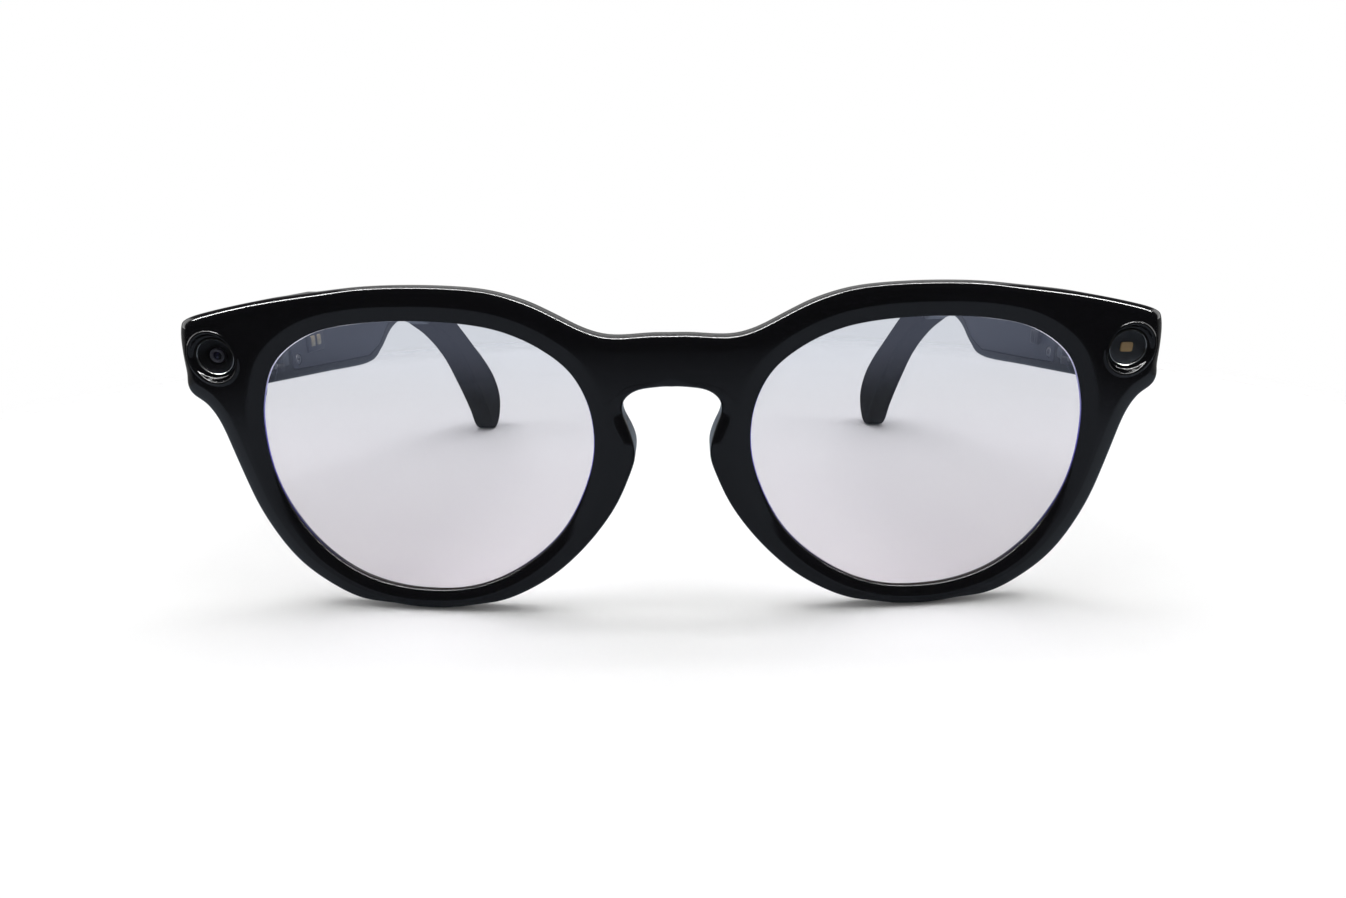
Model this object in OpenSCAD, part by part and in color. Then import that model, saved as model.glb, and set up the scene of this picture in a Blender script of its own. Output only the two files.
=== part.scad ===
// Smart glasses: a curved front with two lenses, a camera and an indicator light,
// and two folding temples that hold the electronics.
// +Z is up, the front faces -Y, and the glasses stand on their rims and ear tips at z = 0.
// The wearer's right side is at -X.

/* [Front] */
// Width across the end pieces
front_w = 149.4; // [146:0.1:152]
// Height of the front, measured in its own tilted plane
front_h = 52.3; // [51:0.1:54]
// Radius of the wrap around the face
wrap_r = 380; // [340:5:450]
// Tilt of the front: the brow leans forward
tilt = 6; // [4:0.5:7]
// Thickness of the rims
rim_t = 4.4; // [4:0.1:5]
// Thickness of the lenses
lens_t = 1.8; // [1.6:0.1:2.0]

/* [Camera and indicator light] */
// Distance of each pod from the end of the front
pod_inset = 5.7; // [5.5:0.1:6]
// Height of the pods in the plane of the front
pod_v = 41; // [40.5:0.1:41.5]
// Radius of the round windows
window_r = 2.9; // [2.7:0.05:3]
// Radius of the dish around each window
dish_r = 4.2; // [4:0.05:4.3]

/* [Temples] */
// Length of a temple from the hinge to the back of the ear tip
temple_l = 126.4; // [124:0.1:128]
// Angle by which the temples lean towards each other
splay = 4.9; // [4:0.1:5.5]
// Thickness of a temple at the hinge
temple_t = 6.8; // [6.6:0.1:7]
// Thickness of a temple at the ear tip
tip_t = 5.4; // [5:0.1:5.8]
// Wall of the temple shells
wall_t = 1.3; // [1.1:0.1:1.4]
// Thickness of the inner covers
cover_t = 1.1; // [1:0.1:1.2]

/* [Hinges] */
// Radius of the hinge barrels
barrel_r = 1.5; // [1.4:0.05:1.6]
// Radius of the hinge screws
screw_r = 0.7; // [0.6:0.05:0.75]
// Running clearance of the barrels on the screws
run_c = 0.03; // [0.02:0.01:0.05]
// Height of one barrel
barrel_h = 1.3; // [1.2:0.05:1.4]

/* [Controls] */
// Travel of the capture button
button_travel = 0.4; // [0.3:0.05:0.5]
// Travel of the power switch
switch_travel = 2; // [1.6:0.1:2.2]

/* [Hidden] */
$fn = 64;

// The front stands this far in front of the middle of the whole object
front_y = -70;
// Height about which the front is tilted
pivot_v = 40;
end_x = front_w / 2;
pod_x = end_x - pod_inset;
// The outlines are drawn at this size and scaled to front_w and front_h
drawn_w = 149.4;
drawn_h = 52.3;
// Depth of the groove that holds each lens, and where it starts behind the front surface
groove_d = 0.8;
lens_s = 1.4;
// Vertical plane where the end pieces stop and the temples start
joint_y = 14.6;
joint_gap = 0.35;
// Hinge axis
hinge_x = end_x - 11.1;
hinge_y = 15.2;
hinge_z = 38.2;
barrel_gap = 0.1;
barrel_n = 5;
barrel_pitch = barrel_h + barrel_gap;
hinge_h = barrel_n * barrel_pitch - barrel_gap;
leaf_t = 1.2;
// Middle of a temple at the joint plane
temple_x = end_x - 6.7;
temple_y = 14.9;
// Side of the cavity that lies nearest the head and nearest the outside
cover_u = -temple_t / 2 + cover_t;
wall_u = temple_t / 2 - wall_t;
// Where the ear tip starts
tip_w = 74;

black = "#101113";
gloss = "#17181b";
matte = "#2b2a2b";
metal = "#9a9da3";
dark_metal = "#55585c";
gold = "#c9a24b";
board = "#1d4a34";
copper = "#b3713d";
foil = "#c9cbd0";

// ---- curves ----

function spline_point(p0, p1, p2, p3, t) =
    0.5 * (2 * p1 + (p2 - p0) * t + (2 * p0 - 5 * p1 + 4 * p2 - p3) * t * t
        + (3 * p1 - p0 - 3 * p2 + p3) * t * t * t);

// Closed smooth curve through the points of c, n steps between neighbours
function closed_curve(c, n) =
    let (k = len(c))
    [for (i = [0 : k - 1], j = [0 : n - 1])
        spline_point(c[(i + k - 1) % k], c[i], c[(i + 1) % k], c[(i + 2) % k], j / n)];

// Open smooth curve through the points of c
function open_curve(c, n) =
    let (k = len(c))
    concat([for (i = [0 : k - 2], j = [0 : n - 1])
        spline_point(c[max(i - 1, 0)], c[i], c[i + 1], c[min(i + 2, k - 1)], j / n)],
        [c[k - 1]]);

function unit(v) = v / norm(v);

// Moves each point of a clockwise closed curve outwards by d
function grown(pts, d) =
    let (k = len(pts))
    [for (i = [0 : k - 1])
        let (t = unit(pts[(i + 1) % k] - pts[(i + k - 1) % k]))
        pts[i] + d * [-t[1], t[0]]];

// A band of width w along an open curve
function band(pts, w) =
    let (k = len(pts),
        side = [for (i = [0 : k - 1])
            let (t = unit(pts[min(i + 1, k - 1)] - pts[max(i - 1, 0)]))
            w / 2 * [-t[1], t[0]]])
    concat([for (i = [0 : k - 1]) pts[i] + side[i]],
        [for (i = [k - 1 : -1 : 0]) pts[i] - side[i]]);

function sized(pts) =
    [for (p = pts) [p[0] * front_w / drawn_w, p[1] * front_h / drawn_h]];

function mirrored(pts) = [for (i = [len(pts) - 1 : -1 : 0]) [-pts[i][0], pts[i][1]]];

// Right half of the outline of the front, from the top of the bridge to its underside
half_outline = [[3, 45.3], [8.5, 45], [12.5, 46], [17, 48.3], [21.5, 50.3], [28, 51.5],
    [38, 51.85], [50, 51.2], [60, 49.8], [68, 48.1], [73, 46.7], [74.3, 45.2],
    [74.7, 42], [74.3, 38], [73.3, 35.7], [71, 34], [69.3, 30.5], [67.5, 23.5],
    [64.9, 15.5], [60, 7.6], [52.5, 2.3], [46, 0.15], [40, -0.4], [34, 0.1], [27, 2.1],
    [20, 6.1], [14.2, 11.6], [9.5, 18], [6.8, 24], [5.8, 27.5], [6.3, 30.3],
    [7.3, 33.3], [7, 35.4], [5, 36.9], [1.5, 37.4]];

// Opening for the left lens
lens_outline = [[63.3, 26], [62.2, 19.3], [59.6, 13.6], [56, 9], [51.2, 5.4],
    [45.3, 3.4], [39, 2.9], [33, 3.5], [27.3, 5.6], [21.5, 9.5], [16.8, 14.5],
    [13.4, 21], [11.7, 27.5], [12.1, 34], [14.6, 39.5], [19, 43.3], [24.5, 45.8],
    [30.5, 46.9], [38, 47.2], [46, 46.7], [53.5, 44.9], [59.7, 40.4], [62.7, 33.5]];

// Middle of the channel for the flexible circuit in the brow, from the bridge outwards
channel_line = [[0, 41.6], [6, 41.8], [11, 42.9], [16, 45.3], [22, 47.8], [30, 49.2],
    [38, 49.6], [50, 48.9], [58, 47.3], [64, 45], [67.5, 43]];

outline = closed_curve(sized(concat(half_outline, mirrored(half_outline))), 4);
opening = closed_curve(sized(lens_outline), 4);
channel = open_curve(sized(concat(mirrored(channel_line), [for (i = [1 : 10]) channel_line[i]])), 3);

// ---- placing ----

module at_table() {
    translate([0, front_y, 0]) children();
}

// Local axes of the front: x across, y backwards from the bridge, z up along the front
module on_front() {
    at_table() translate([0, 0, pivot_v]) rotate([tilt, 0, 0]) translate([0, 0, -pivot_v]) children();
}

// side is 1 for the wearer's left and -1 for the wearer's right
module on_side(side) {
    mirror([side < 0 ? 1 : 0, 0, 0]) children();
}

// Local axes of a temple: x outwards, y along the temple, z up
module in_temple(side) {
    at_table() on_side(side) translate([temple_x, temple_y, 0]) rotate([0, 0, splay]) children();
}

// Box from its low corner to its high corner
module block(a, b) {
    translate(a) cube(b - a);
}

// Flat shape in the plane of the front, from depth s0 to s1
module through(pts, s0, s1) {
    translate([0, s1, 0]) rotate([90, 0, 0]) linear_extrude(s1 - s0) polygon(pts);
}

// Flat shape seen from the side of a temple, from u0 to u1
module sideways(pts, u0, u1) {
    translate([u0, 0, 0]) rotate([90, 0, 90]) linear_extrude(u1 - u0) polygon(pts);
}

// The layer of the curved front between two depths
module layer(s0, s1) {
    translate([0, wrap_r, -5]) difference() {
        cylinder(h = front_h + 10, r = wrap_r - s0, $fn = 360);
        translate([0, 0, -1]) cylinder(h = front_h + 12, r = wrap_r - s1, $fn = 360);
    }
}

// Rod from a point along the depth of the front
module rod_s(x, v, s0, s1, r) {
    translate([x, s1, v]) rotate([90, 0, 0]) cylinder(h = s1 - s0, r = r);
}

// ---- front ----

window_s = 7.3;
window_t = 0.8;
bezel_w = 0.3;
barrel_lens_r = 1.9;
pocket_s = 11.4;
pocket_w = 5.6;
pocket_h = 8;
pocket_z = pivot_v + (pod_v - pivot_v) * cos(tilt) + 12 * sin(tilt);
end_cover_t = 0.9;

// Thick block behind each end of the front, up to the joint plane
module end_block() {
    intersection() {
        through(outline, 2, 18);
        layer(rim_t / 2, 20);
        translate([0, 0, 30]) linear_extrude(25)
            polygon([[hinge_x - 1.8, 4], [end_x + 1, 4], [end_x + 1, 8.5],
                [temple_x + 3.6, 15.4], [temple_x + 3.6, 18], [hinge_x - 1.8, 18]]);
    }
}

// Raised pad beside the keyhole, blended from a cylinder across the nose
module nose_pad() {
    intersection() {
        difference() {
            through(outline, 3, 12);
            through(grown(opening, 1.2), 2, 13);
        }
        block([4, 3, 12], [15, 12, 33]);
        translate([0, -4, 22]) rotate([0, 90, 0]) cylinder(h = 20, r = 13.4, $fn = 96);
    }
}

module pod_cut() {
    s = wrap_r - sqrt(wrap_r * wrap_r - pod_x * pod_x);
    lean = asin(pod_x / wrap_r);
    depth = 0.95;
    out = 1.2;
    slope = (dish_r - window_r) / depth;
    translate([pod_x, s, pod_v]) rotate([0, 0, lean]) translate([0, depth, 0]) rotate([90, 0, 0])
        cylinder(h = depth + out, r1 = window_r, r2 = dish_r + out * slope);
    rod_s(pod_x, pod_v, window_s - 0.6, window_s + window_t, window_r + bezel_w);
    rod_s(pod_x, pod_v, window_s, pocket_s + 1, barrel_lens_r + 0.3);
}

// Everything cut from the +X end piece, in the upright frame of the table
module end_cuts() {
    // pocket for the camera or the indicator board, open to the back
    block([pod_x - pocket_w / 2, pocket_s - 0.2, pocket_z - pocket_h / 2],
        [pod_x + pocket_w / 2, 30, pocket_z + pocket_h / 2]);
    // slot for the hinge leaf, and the room in which the barrels turn
    block([hinge_x - leaf_t / 2 - 0.05, 10.9, hinge_z - 0.1],
        [hinge_x + leaf_t / 2 + 0.05, 16, hinge_z + hinge_h + 0.1]);
    translate([hinge_x, hinge_y, hinge_z - 0.2]) cylinder(h = hinge_h + 0.4, r = barrel_r + 0.3);
    // holes for the rivets
    for (z = rivet_z)
        translate([hinge_x - 4, rivet_y, z]) rotate([0, 90, 0]) cylinder(h = 6, r = rivet_r, $fn = 32);
    // everything behind the joint plane
    block([0, joint_y, 20], [end_x + 5, 40, 60]);
}

rivet_y = 12;
rivet_z = [hinge_z + 1.4, hinge_z + hinge_h - 1.4];
rivet_r = 0.5;

module front_frame() {
    color(gloss) difference() {
        on_front() difference() {
            union() {
                intersection() {
                    through(outline, -2, 18);
                    layer(0, rim_t);
                }
                for (side = [-1, 1]) on_side(side) {
                    end_block();
                    nose_pad();
                }
            }
            for (side = [-1, 1]) on_side(side) {
                through(opening, -3, 20);
                intersection() {
                    through(grown(opening, groove_d), -3, 20);
                    layer(lens_s, lens_s + lens_t);
                }
                pod_cut();
                // slanted back corner of the end piece
                translate([0, 0, 20]) linear_extrude(40)
                    polygon([[end_x + 5, 8.5], [end_x, 8.5], [temple_x + 3.6, 15.4],
                        [temple_x + 3.6, 20], [end_x + 5, 20]]);
            }
            intersection() {
                through(band(channel, 1.7), -3, 20);
                layer(2, 2.7);
            }
            // seat and sound hole of the bridge microphone
            rod_s(0, 41.6, 2.2, 3.6, 1.1);
            rod_s(0, 41.6, 2.2, 6, 0.4);
        }
        at_table() for (side = [-1, 1]) on_side(side) end_cuts();
    }
}

module lens(side) {
    on_front() on_side(side) intersection() {
        through(grown(opening, groove_d - 0.1), -3, 20);
        layer(lens_s + 0.05, lens_s + lens_t - 0.05);
    }
}

module lens_right() { color("#c9c7dc", 0.5) lens(-1); }
module lens_left() { color("#c9c7dc", 0.5) lens(1); }

module pod_window() {
    rod_s(pod_x, pod_v, window_s, window_s + window_t - 0.05, window_r - 0.02);
}

module pod_bezel() {
    difference() {
        rod_s(pod_x, pod_v, window_s - 0.15, window_s + window_t - 0.05, window_r + bezel_w - 0.02);
        rod_s(pod_x, pod_v, window_s - 1, window_s + 2, window_r);
    }
}

module camera_window() { color("#20222a") on_front() on_side(-1) pod_window(); }
module camera_bezel() { color(metal) on_front() on_side(-1) pod_bezel(); }
module led_window() { color("#2d3034") on_front() on_side(1) pod_window(); }
module led_bezel() { color(metal) on_front() on_side(1) pod_bezel(); }

module camera_module() {
    color(black) on_front() on_side(-1) {
        difference() {
            rod_s(pod_x, pod_v, window_s + window_t + 0.2, pocket_s + 0.3, barrel_lens_r);
            rod_s(pod_x, pod_v, window_s + window_t, window_s + window_t + 1.2, 1);
        }
        block([pod_x - 2.4, pocket_s + 0.3, pod_v - 2.4], [pod_x + 2.4, pocket_s + 1.3, pod_v + 2.4]);
    }
}

module camera_board() {
    color(board) on_front() on_side(-1)
        block([pod_x - 2.5, pocket_s + 1.35, pod_v - 3.2], [pod_x + 2.5, pocket_s + 1.75, pod_v + 3.2]);
}

module led_board() {
    color(board) on_front() on_side(1) {
        block([pod_x - 2.5, pocket_s + 1.35, pod_v - 3.2], [pod_x + 2.5, pocket_s + 1.75, pod_v + 3.2]);
        rod_s(pod_x, pod_v, window_s + window_t + 0.5, pocket_s + 1.35, 1.3);
    }
}

module front_flex() {
    color(copper) on_front() intersection() {
        through(band(channel, 1.3), -3, 20);
        layer(2.2, 2.4);
    }
}

module bridge_mic() {
    color(metal) on_front() rod_s(0, 41.6, 2.7, 3.5, 1);
}

module end_cover(side) {
    color(black) at_table() on_side(side)
        block([pod_x - pocket_w / 2 + 0.1, joint_y - end_cover_t - 0.1, pocket_z - pocket_h / 2 + 0.1],
            [pod_x + pocket_w / 2 - 0.1, joint_y - 0.1, pocket_z + pocket_h / 2 - 0.1]);
}

module end_cover_right() { end_cover(-1); }
module end_cover_left() { end_cover(1); }

// ---- hinges ----

function barrel_z(i) = hinge_z + i * barrel_pitch;

module barrel(i) {
    translate([hinge_x, hinge_y, barrel_z(i)]) cylinder(h = barrel_h, r = barrel_r);
}

module axle_hole() {
    translate([hinge_x, hinge_y, hinge_z - 1]) cylinder(h = hinge_h + 2, r = screw_r + run_c);
}

module front_leaf(side) {
    color(metal) at_table() on_side(side) difference() {
        union() {
            block([hinge_x - leaf_t / 2, 11, hinge_z], [hinge_x + leaf_t / 2, 13.4, hinge_z + hinge_h]);
            for (i = [0, 2, 4]) {
                barrel(i);
                block([hinge_x - leaf_t / 2, 13, barrel_z(i)],
                    [hinge_x + leaf_t / 2, hinge_y, barrel_z(i) + barrel_h]);
            }
        }
        axle_hole();
        for (z = rivet_z)
            translate([hinge_x - 4, rivet_y, z]) rotate([0, 90, 0])
                cylinder(h = 8, r = rivet_r + 0.02, $fn = 32);
    }
}

module front_leaf_right() { front_leaf(-1); }
module front_leaf_left() { front_leaf(1); }

leaf_w0 = 17;
leaf_w1 = 21.4;
leaf_x0 = hinge_x + 0.3;

module temple_leaf(side) {
    color(metal) at_table() on_side(side) difference() {
        union() {
            block([leaf_x0, leaf_w0, hinge_z], [leaf_x0 + leaf_t, leaf_w1, hinge_z + hinge_h]);
            for (i = [1, 3]) {
                barrel(i);
                block([leaf_x0, hinge_y, barrel_z(i)],
                    [leaf_x0 + leaf_t, leaf_w0 + 0.5, barrel_z(i) + barrel_h]);
            }
        }
        axle_hole();
    }
}

module temple_leaf_right() { temple_leaf(-1); }
module temple_leaf_left() { temple_leaf(1); }

module leaf_rivets() {
    color(metal) at_table() for (side = [-1, 1]) on_side(side) for (z = rivet_z)
        translate([hinge_x - 1.75, rivet_y, z]) rotate([0, 90, 0])
            cylinder(h = 3.5, r = rivet_r - 0.02, $fn = 32);
}

module hinge_screw(side) {
    color(dark_metal) at_table() on_side(side) translate([hinge_x, hinge_y, hinge_z - 0.1])
        cylinder(h = hinge_h + 0.2, r = screw_r);
}

module hinge_screw_right() { hinge_screw(-1); }
module hinge_screw_left() { hinge_screw(1); }

// ---- temples ----

// Outline of a temple seen from the side: top edge from the hinge to the ear tip,
// round the end, and back along the lower edge
temple_profile = [[0, 48.4], [30, 48.1], [55, 47.6], [64, 46.6], [74, 44], [84, 39.6],
    [95, 33.2], [104, 27.6], [113, 22], [121, 16], [125.6, 10], [126, 5.5], [123.5, 1.4],
    [119.8, 0], [116.5, 1.8], [112.5, 7.3], [104, 16.6], [95, 25.2], [84, 32.2],
    [74, 36.6], [64, 39], [57, 39.6], [50.5, 38.2], [44.5, 34.8], [38.5, 33.2],
    [20, 34.6], [0, 36.2]];
profile = open_curve(temple_profile, 4);

// Opening of the shell that the inner cover closes
cavity_line = [[8, 46.9], [30, 46.7], [54, 46.2], [57, 44.8], [57, 42], [53, 41.3],
    [48, 39.6], [43.5, 36.3], [38, 34.8], [20, 36.1], [8, 37.1]];

module temple_plan(w0, w1) {
    translate([0, 0, -1]) linear_extrude(55)
        polygon([[-temple_t / 2, w0], [temple_t / 2, w0],
            [temple_t / 2 - (temple_t - tip_t) / 2 * w1 / temple_l, w1],
            [-temple_t / 2 + (temple_t - tip_t) / 2 * w1 / temple_l, w1]]);
}

module temple_solid(w0, w1) {
    intersection() {
        sideways(profile, -5, 5);
        temple_plan(w0, w1);
    }
}

// Core wire: a flat strip of spring steel that bends down into the ear tip
wire_h = 1.6;
wire_t = 1.1;
wire_line = open_curve([[62, 43], [74, 40.6], [85, 36], [98, 27.4], [111, 17.2]], 3);

// The strip, or with a clearance c the slot that holds it
module wire(c) {
    sideways(band(wire_line, wire_h + 2 * c), -wire_t / 2 - c, wire_t / 2 + c);
}

boss_points = [[10.2, 38.6], [54.3, 43.8]];
boss_r = 1.2;
fastener_r = 0.45;

module cover_line(d) {
    sideways(grown(cavity_line, d), -5, -temple_t / 2 + cover_t);
}

// Slots and holes that both shells share
module shared_cuts() {
    // sound outlet under the speaker, and its vent in the top edge
    block([-1.3, 36, 30], [1.3, 42, 37]);
    block([-0.6, 37.5, 45], [0.6, 40.5, 50]);
    // ports of the two microphones
    translate([0, 14.6, 30]) cylinder(h = 8, r = 0.4);
    translate([0, 31, 45]) cylinder(h = 8, r = 0.4);
    // passage of the flexible circuit from the hinge
    block([-0.6, -1, 40], [0.6, 9, 44.2]);
}

module temple_shell(side) {
    difference() {
        in_temple(side) difference() {
            temple_solid(joint_gap, tip_w - 0.05);
            difference() {
                sideways(cavity_line, -5, wall_u);
                for (p = boss_points)
                    translate([cover_u, p[0], p[1]]) rotate([0, 90, 0])
                        cylinder(h = 8, r = boss_r);
            }
            for (p = boss_points)
                translate([-5, p[0], p[1]]) rotate([0, 90, 0])
                    cylinder(h = 5 + wall_u - 0.6, r = fastener_r);
            wire(0.05);
            shared_cuts();
            children();
        }
        at_table() on_side(side) {
            translate([hinge_x, hinge_y, hinge_z - 0.2])
                cylinder(h = hinge_h + 0.4, r = barrel_r + 0.3);
            block([leaf_x0 - 0.5, hinge_y, hinge_z - 0.1],
                [leaf_x0 + leaf_t + 0.05, leaf_w1 + 0.1, hinge_z + hinge_h + 0.1]);
        }
    }
}

// The cover of one side, with an island on the right one for the charging contacts
module temple_cover(side) {
    in_temple(side) difference() {
        union() {
            intersection() {
                temple_solid(0, tip_w);
                cover_line(-0.1);
            }
            if (side < 0)
                block([-temple_t / 2 - island_h, contact_w[0] - 1.2, contact_z - 1.9],
                    [cover_u, contact_w[1] + contact_size + 1.2, contact_z + 1.9]);
        }
        for (p = boss_points) {
            translate([-5, p[0], p[1]]) rotate([0, 90, 0]) cylinder(h = 6, r = fastener_r + 0.15);
            translate([-temple_t / 2 - 0.2, p[0], p[1]]) rotate([0, 90, 0])
                cylinder(h = 0.75, r = 0.95);
        }
        children();
    }
}

module ear_tip(side) {
    color(matte) in_temple(side) difference() {
        temple_solid(tip_w + 0.05, 140);
        wire(0.05);
    }
}

module core_wire(side) {
    color(metal) in_temple(side) wire(0);
}

module ear_tip_right() { ear_tip(-1); }
module ear_tip_left() { ear_tip(1); }
module core_wire_right() { core_wire(-1); }
module core_wire_left() { core_wire(1); }

// Capture button in the top edge of the right temple
button_w0 = 14;
button_w1 = 24;
button_hw = 1.3;
top_z = 48.25;

module capture_button_slot() {
    block([-button_hw - 0.15, button_w0 - 0.15, 46], [button_hw + 0.15, button_w1 + 0.15, 50]);
}

module capture_button() {
    color(dark_metal) in_temple(-1) {
        block([-button_hw, button_w0, 47.2], [button_hw, button_w1, top_z + 0.45]);
        block([-0.6, 18.2, 46.2 + button_travel], [0.6, 19.8, 47.2]);
    }
}

module capture_switch() {
    color(metal) in_temple(-1) {
        block([-1.5, 17, 44.6], [1.5, 21, 45.6]);
        translate([0, 19, 45.6]) cylinder(h = 0.5, r = 1.1);
    }
}

// Power switch in the inner cover of the left temple
slider_w = 13.4;
slider_z = 40.6;

module power_slot() {
    block([-5, slider_w - 0.2, slider_z - 0.6], [0, slider_w + 1.6 + switch_travel + 0.2, slider_z + 0.6]);
}

module power_slider() {
    color(dark_metal) in_temple(1) {
        block([-temple_t / 2 - 0.8, slider_w - 0.6, slider_z - 1.2],
            [-temple_t / 2 - 0.3, slider_w + 2.2, slider_z + 1.2]);
        block([-temple_t / 2 - 0.4, slider_w + 0.2, slider_z - 0.4],
            [cover_u + 0.3, slider_w + 1.4, slider_z + 0.4]);
    }
}

module power_switch() {
    color(metal) in_temple(1) difference() {
        block([cover_u + 0.1, slider_w - 1.6, slider_z - 1.6],
            [-0.4, slider_w + 3 + switch_travel, slider_z + 1.6]);
        block([cover_u, slider_w - 0.2, slider_z - 0.7],
            [cover_u + 0.8, slider_w + 1.8 + switch_travel, slider_z + 0.7]);
    }
}

// Charging contacts, flush with a flat island on the inner cover of the right temple
contact_w = [14.6, 16.7];
contact_z = 41;
contact_size = 1.4;
island_h = 0.3;

module charge_contacts() {
    color(gold) in_temple(-1) for (w = contact_w)
        block([-temple_t / 2 - island_h, w, contact_z - 0.95],
            [-temple_t / 2 + cover_t + 0.3, w + contact_size, contact_z + 0.95]);
}

module contact_slots() {
    for (w = contact_w)
        block([-5, w - 0.05, contact_z - 1], [0, w + contact_size + 0.05, contact_z + 1]);
}

magnet_w = [11.6, 21.2];

module charge_magnets() {
    color(foil) in_temple(-1) for (w = magnet_w)
        translate([cover_u + 0.1, w, contact_z]) rotate([0, 90, 0]) cylinder(h = 1, r = 1.2);
}

module status_slot() {
    translate([-5, 9.3, 45]) rotate([0, 90, 0]) cylinder(h = 5, r = 0.4);
}

module status_led() {
    color("#e8efe9") in_temple(-1) translate([-temple_t / 2 + 0.2, 9.3, 45]) rotate([0, 90, 0])
        cylinder(h = cover_t, r = 0.38);
}

module temple_shell_right() {
    color(gloss) temple_shell(-1) capture_button_slot();
}

module temple_cover_right() {
    color(matte) temple_cover(-1) {
        contact_slots();
        status_slot();
    }
}

module temple_shell_left() { color(gloss) temple_shell(1); }
module temple_cover_left() { color(matte) temple_cover(1) power_slot(); }

// ---- electronics ----

// Circuit board with a few parts on its outer face
module board_plate(w0, w1) {
    color(board) block([-0.3, w0, 38.2], [0.3, w1, 44.2]);
}

module main_board() { in_temple(-1) board_plate(12, 24); }
module audio_board() { in_temple(1) board_plate(12, 24); }
module processor_can() { color(foil) in_temple(-1) block([0.35, 13, 38.7], [1.8, 23, 43.7]); }
module touch_sensor() { color(copper) in_temple(-1) block([wall_u - 0.2, 12, 38.2], [wall_u - 0.05, 36, 45.8]); }

module battery(side) {
    color(foil) in_temple(side) block([-2, 24.6, 36.4], [1.8, 34.4, 45.2]);
}

module battery_right() { battery(-1); }
module battery_left() { battery(1); }

// Open-ear speaker: a flat box with a raised round cone cap
module speaker(side) {
    color(black) in_temple(side) {
        block([-1.9, 35, 37.2], [1.1, 43.4, 44.6]);
        translate([1.1, 39.2, 40.9]) rotate([0, 90, 0]) cylinder(h = 0.6, r = 3);
    }
}

module speaker_right() { speaker(-1); }
module speaker_left() { speaker(1); }

// Punched metal strip that covers the sound outlet
module speaker_grille(side) {
    color(dark_metal) in_temple(side) difference() {
        block([-1.25, 36.05, 34], [1.25, 41.95, 34.4]);
        for (i = [0 : 4], j = [-1 : 1])
            translate([j * 0.75, 36.8 + i * 1.1, 33]) cylinder(h = 3, r = 0.22, $fn = 24);
    }
}

module speaker_grille_right() { speaker_grille(-1); }
module speaker_grille_left() { speaker_grille(1); }

module mics(side) {
    color(metal) in_temple(side) {
        block([-0.9, 13.4, 37], [0.9, 15.8, 37.9]);
        block([-0.9, 29.5, 45.6], [0.9, 32.5, 46.5]);
    }
}

module mics_right() { mics(-1); }
module mics_left() { mics(1); }

module temple_flex(side) {
    color(copper) in_temple(side) block([-0.1, 0.6, 40.3], [0.1, 11.9, 43.9]);
}

module temple_flex_right() { temple_flex(-1); }
module temple_flex_left() { temple_flex(1); }

module cover_screws(side) {
    color(dark_metal) in_temple(side) for (p = boss_points) {
        translate([-temple_t / 2 + 0.05, p[0], p[1]]) rotate([0, 90, 0]) {
            cylinder(h = 0.45, r = 0.85);
            cylinder(h = 4, r = fastener_r - 0.02);
        }
    }
}

module cover_screws_right() { cover_screws(-1); }
module cover_screws_left() { cover_screws(1); }

front_frame();
lens_right();
lens_left();
camera_window();
camera_bezel();
camera_module();
camera_board();
led_window();
led_bezel();
led_board();
front_flex();
bridge_mic();
end_cover_right();
end_cover_left();
front_leaf_right();
front_leaf_left();
leaf_rivets();
hinge_screw_right();
hinge_screw_left();
temple_shell_right();
temple_cover_right();
ear_tip_right();
core_wire_right();
temple_leaf_right();
temple_flex_right();
main_board();
processor_can();
battery_right();
speaker_right();
speaker_grille_right();
touch_sensor();
charge_contacts();
charge_magnets();
mics_right();
cover_screws_right();
capture_switch();
status_led();
capture_button();
temple_shell_left();
temple_cover_left();
ear_tip_left();
core_wire_left();
temple_leaf_left();
temple_flex_left();
audio_board();
battery_left();
speaker_left();
speaker_grille_left();
mics_left();
cover_screws_left();
power_switch();
power_slider();
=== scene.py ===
import bpy, bmesh, math
from mathutils import Matrix, Vector


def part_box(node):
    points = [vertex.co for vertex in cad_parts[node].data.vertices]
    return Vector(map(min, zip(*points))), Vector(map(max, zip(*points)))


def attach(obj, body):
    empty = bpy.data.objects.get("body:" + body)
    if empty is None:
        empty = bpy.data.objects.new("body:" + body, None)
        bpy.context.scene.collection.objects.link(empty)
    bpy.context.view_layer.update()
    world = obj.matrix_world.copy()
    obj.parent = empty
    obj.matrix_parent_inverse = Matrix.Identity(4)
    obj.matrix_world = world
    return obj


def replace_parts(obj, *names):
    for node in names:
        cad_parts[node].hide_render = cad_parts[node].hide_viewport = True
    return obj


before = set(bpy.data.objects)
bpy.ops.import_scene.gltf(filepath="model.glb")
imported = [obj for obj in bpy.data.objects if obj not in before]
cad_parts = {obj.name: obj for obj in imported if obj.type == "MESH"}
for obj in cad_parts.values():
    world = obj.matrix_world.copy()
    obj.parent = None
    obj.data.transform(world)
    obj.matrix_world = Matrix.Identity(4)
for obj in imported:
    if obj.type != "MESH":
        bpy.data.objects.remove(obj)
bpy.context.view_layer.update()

# ---- The room -------------------------------------------------------------------------
# A white table that fades out into white paper all round. In front of the glasses the room
# is dark, and in reflections the table is painted a dim blue-grey as painted shade, which
# keeps the brow black; a wide soft light and a long thin one hang overhead.
front_lo, front_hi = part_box("front_frame")


def node(tree, kind, **values):
    made = tree.nodes.new(kind if kind.startswith("NodeGroup") else "ShaderNode" + kind)
    for name, value in values.items():
        setattr(made, name, value)
    return made


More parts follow.
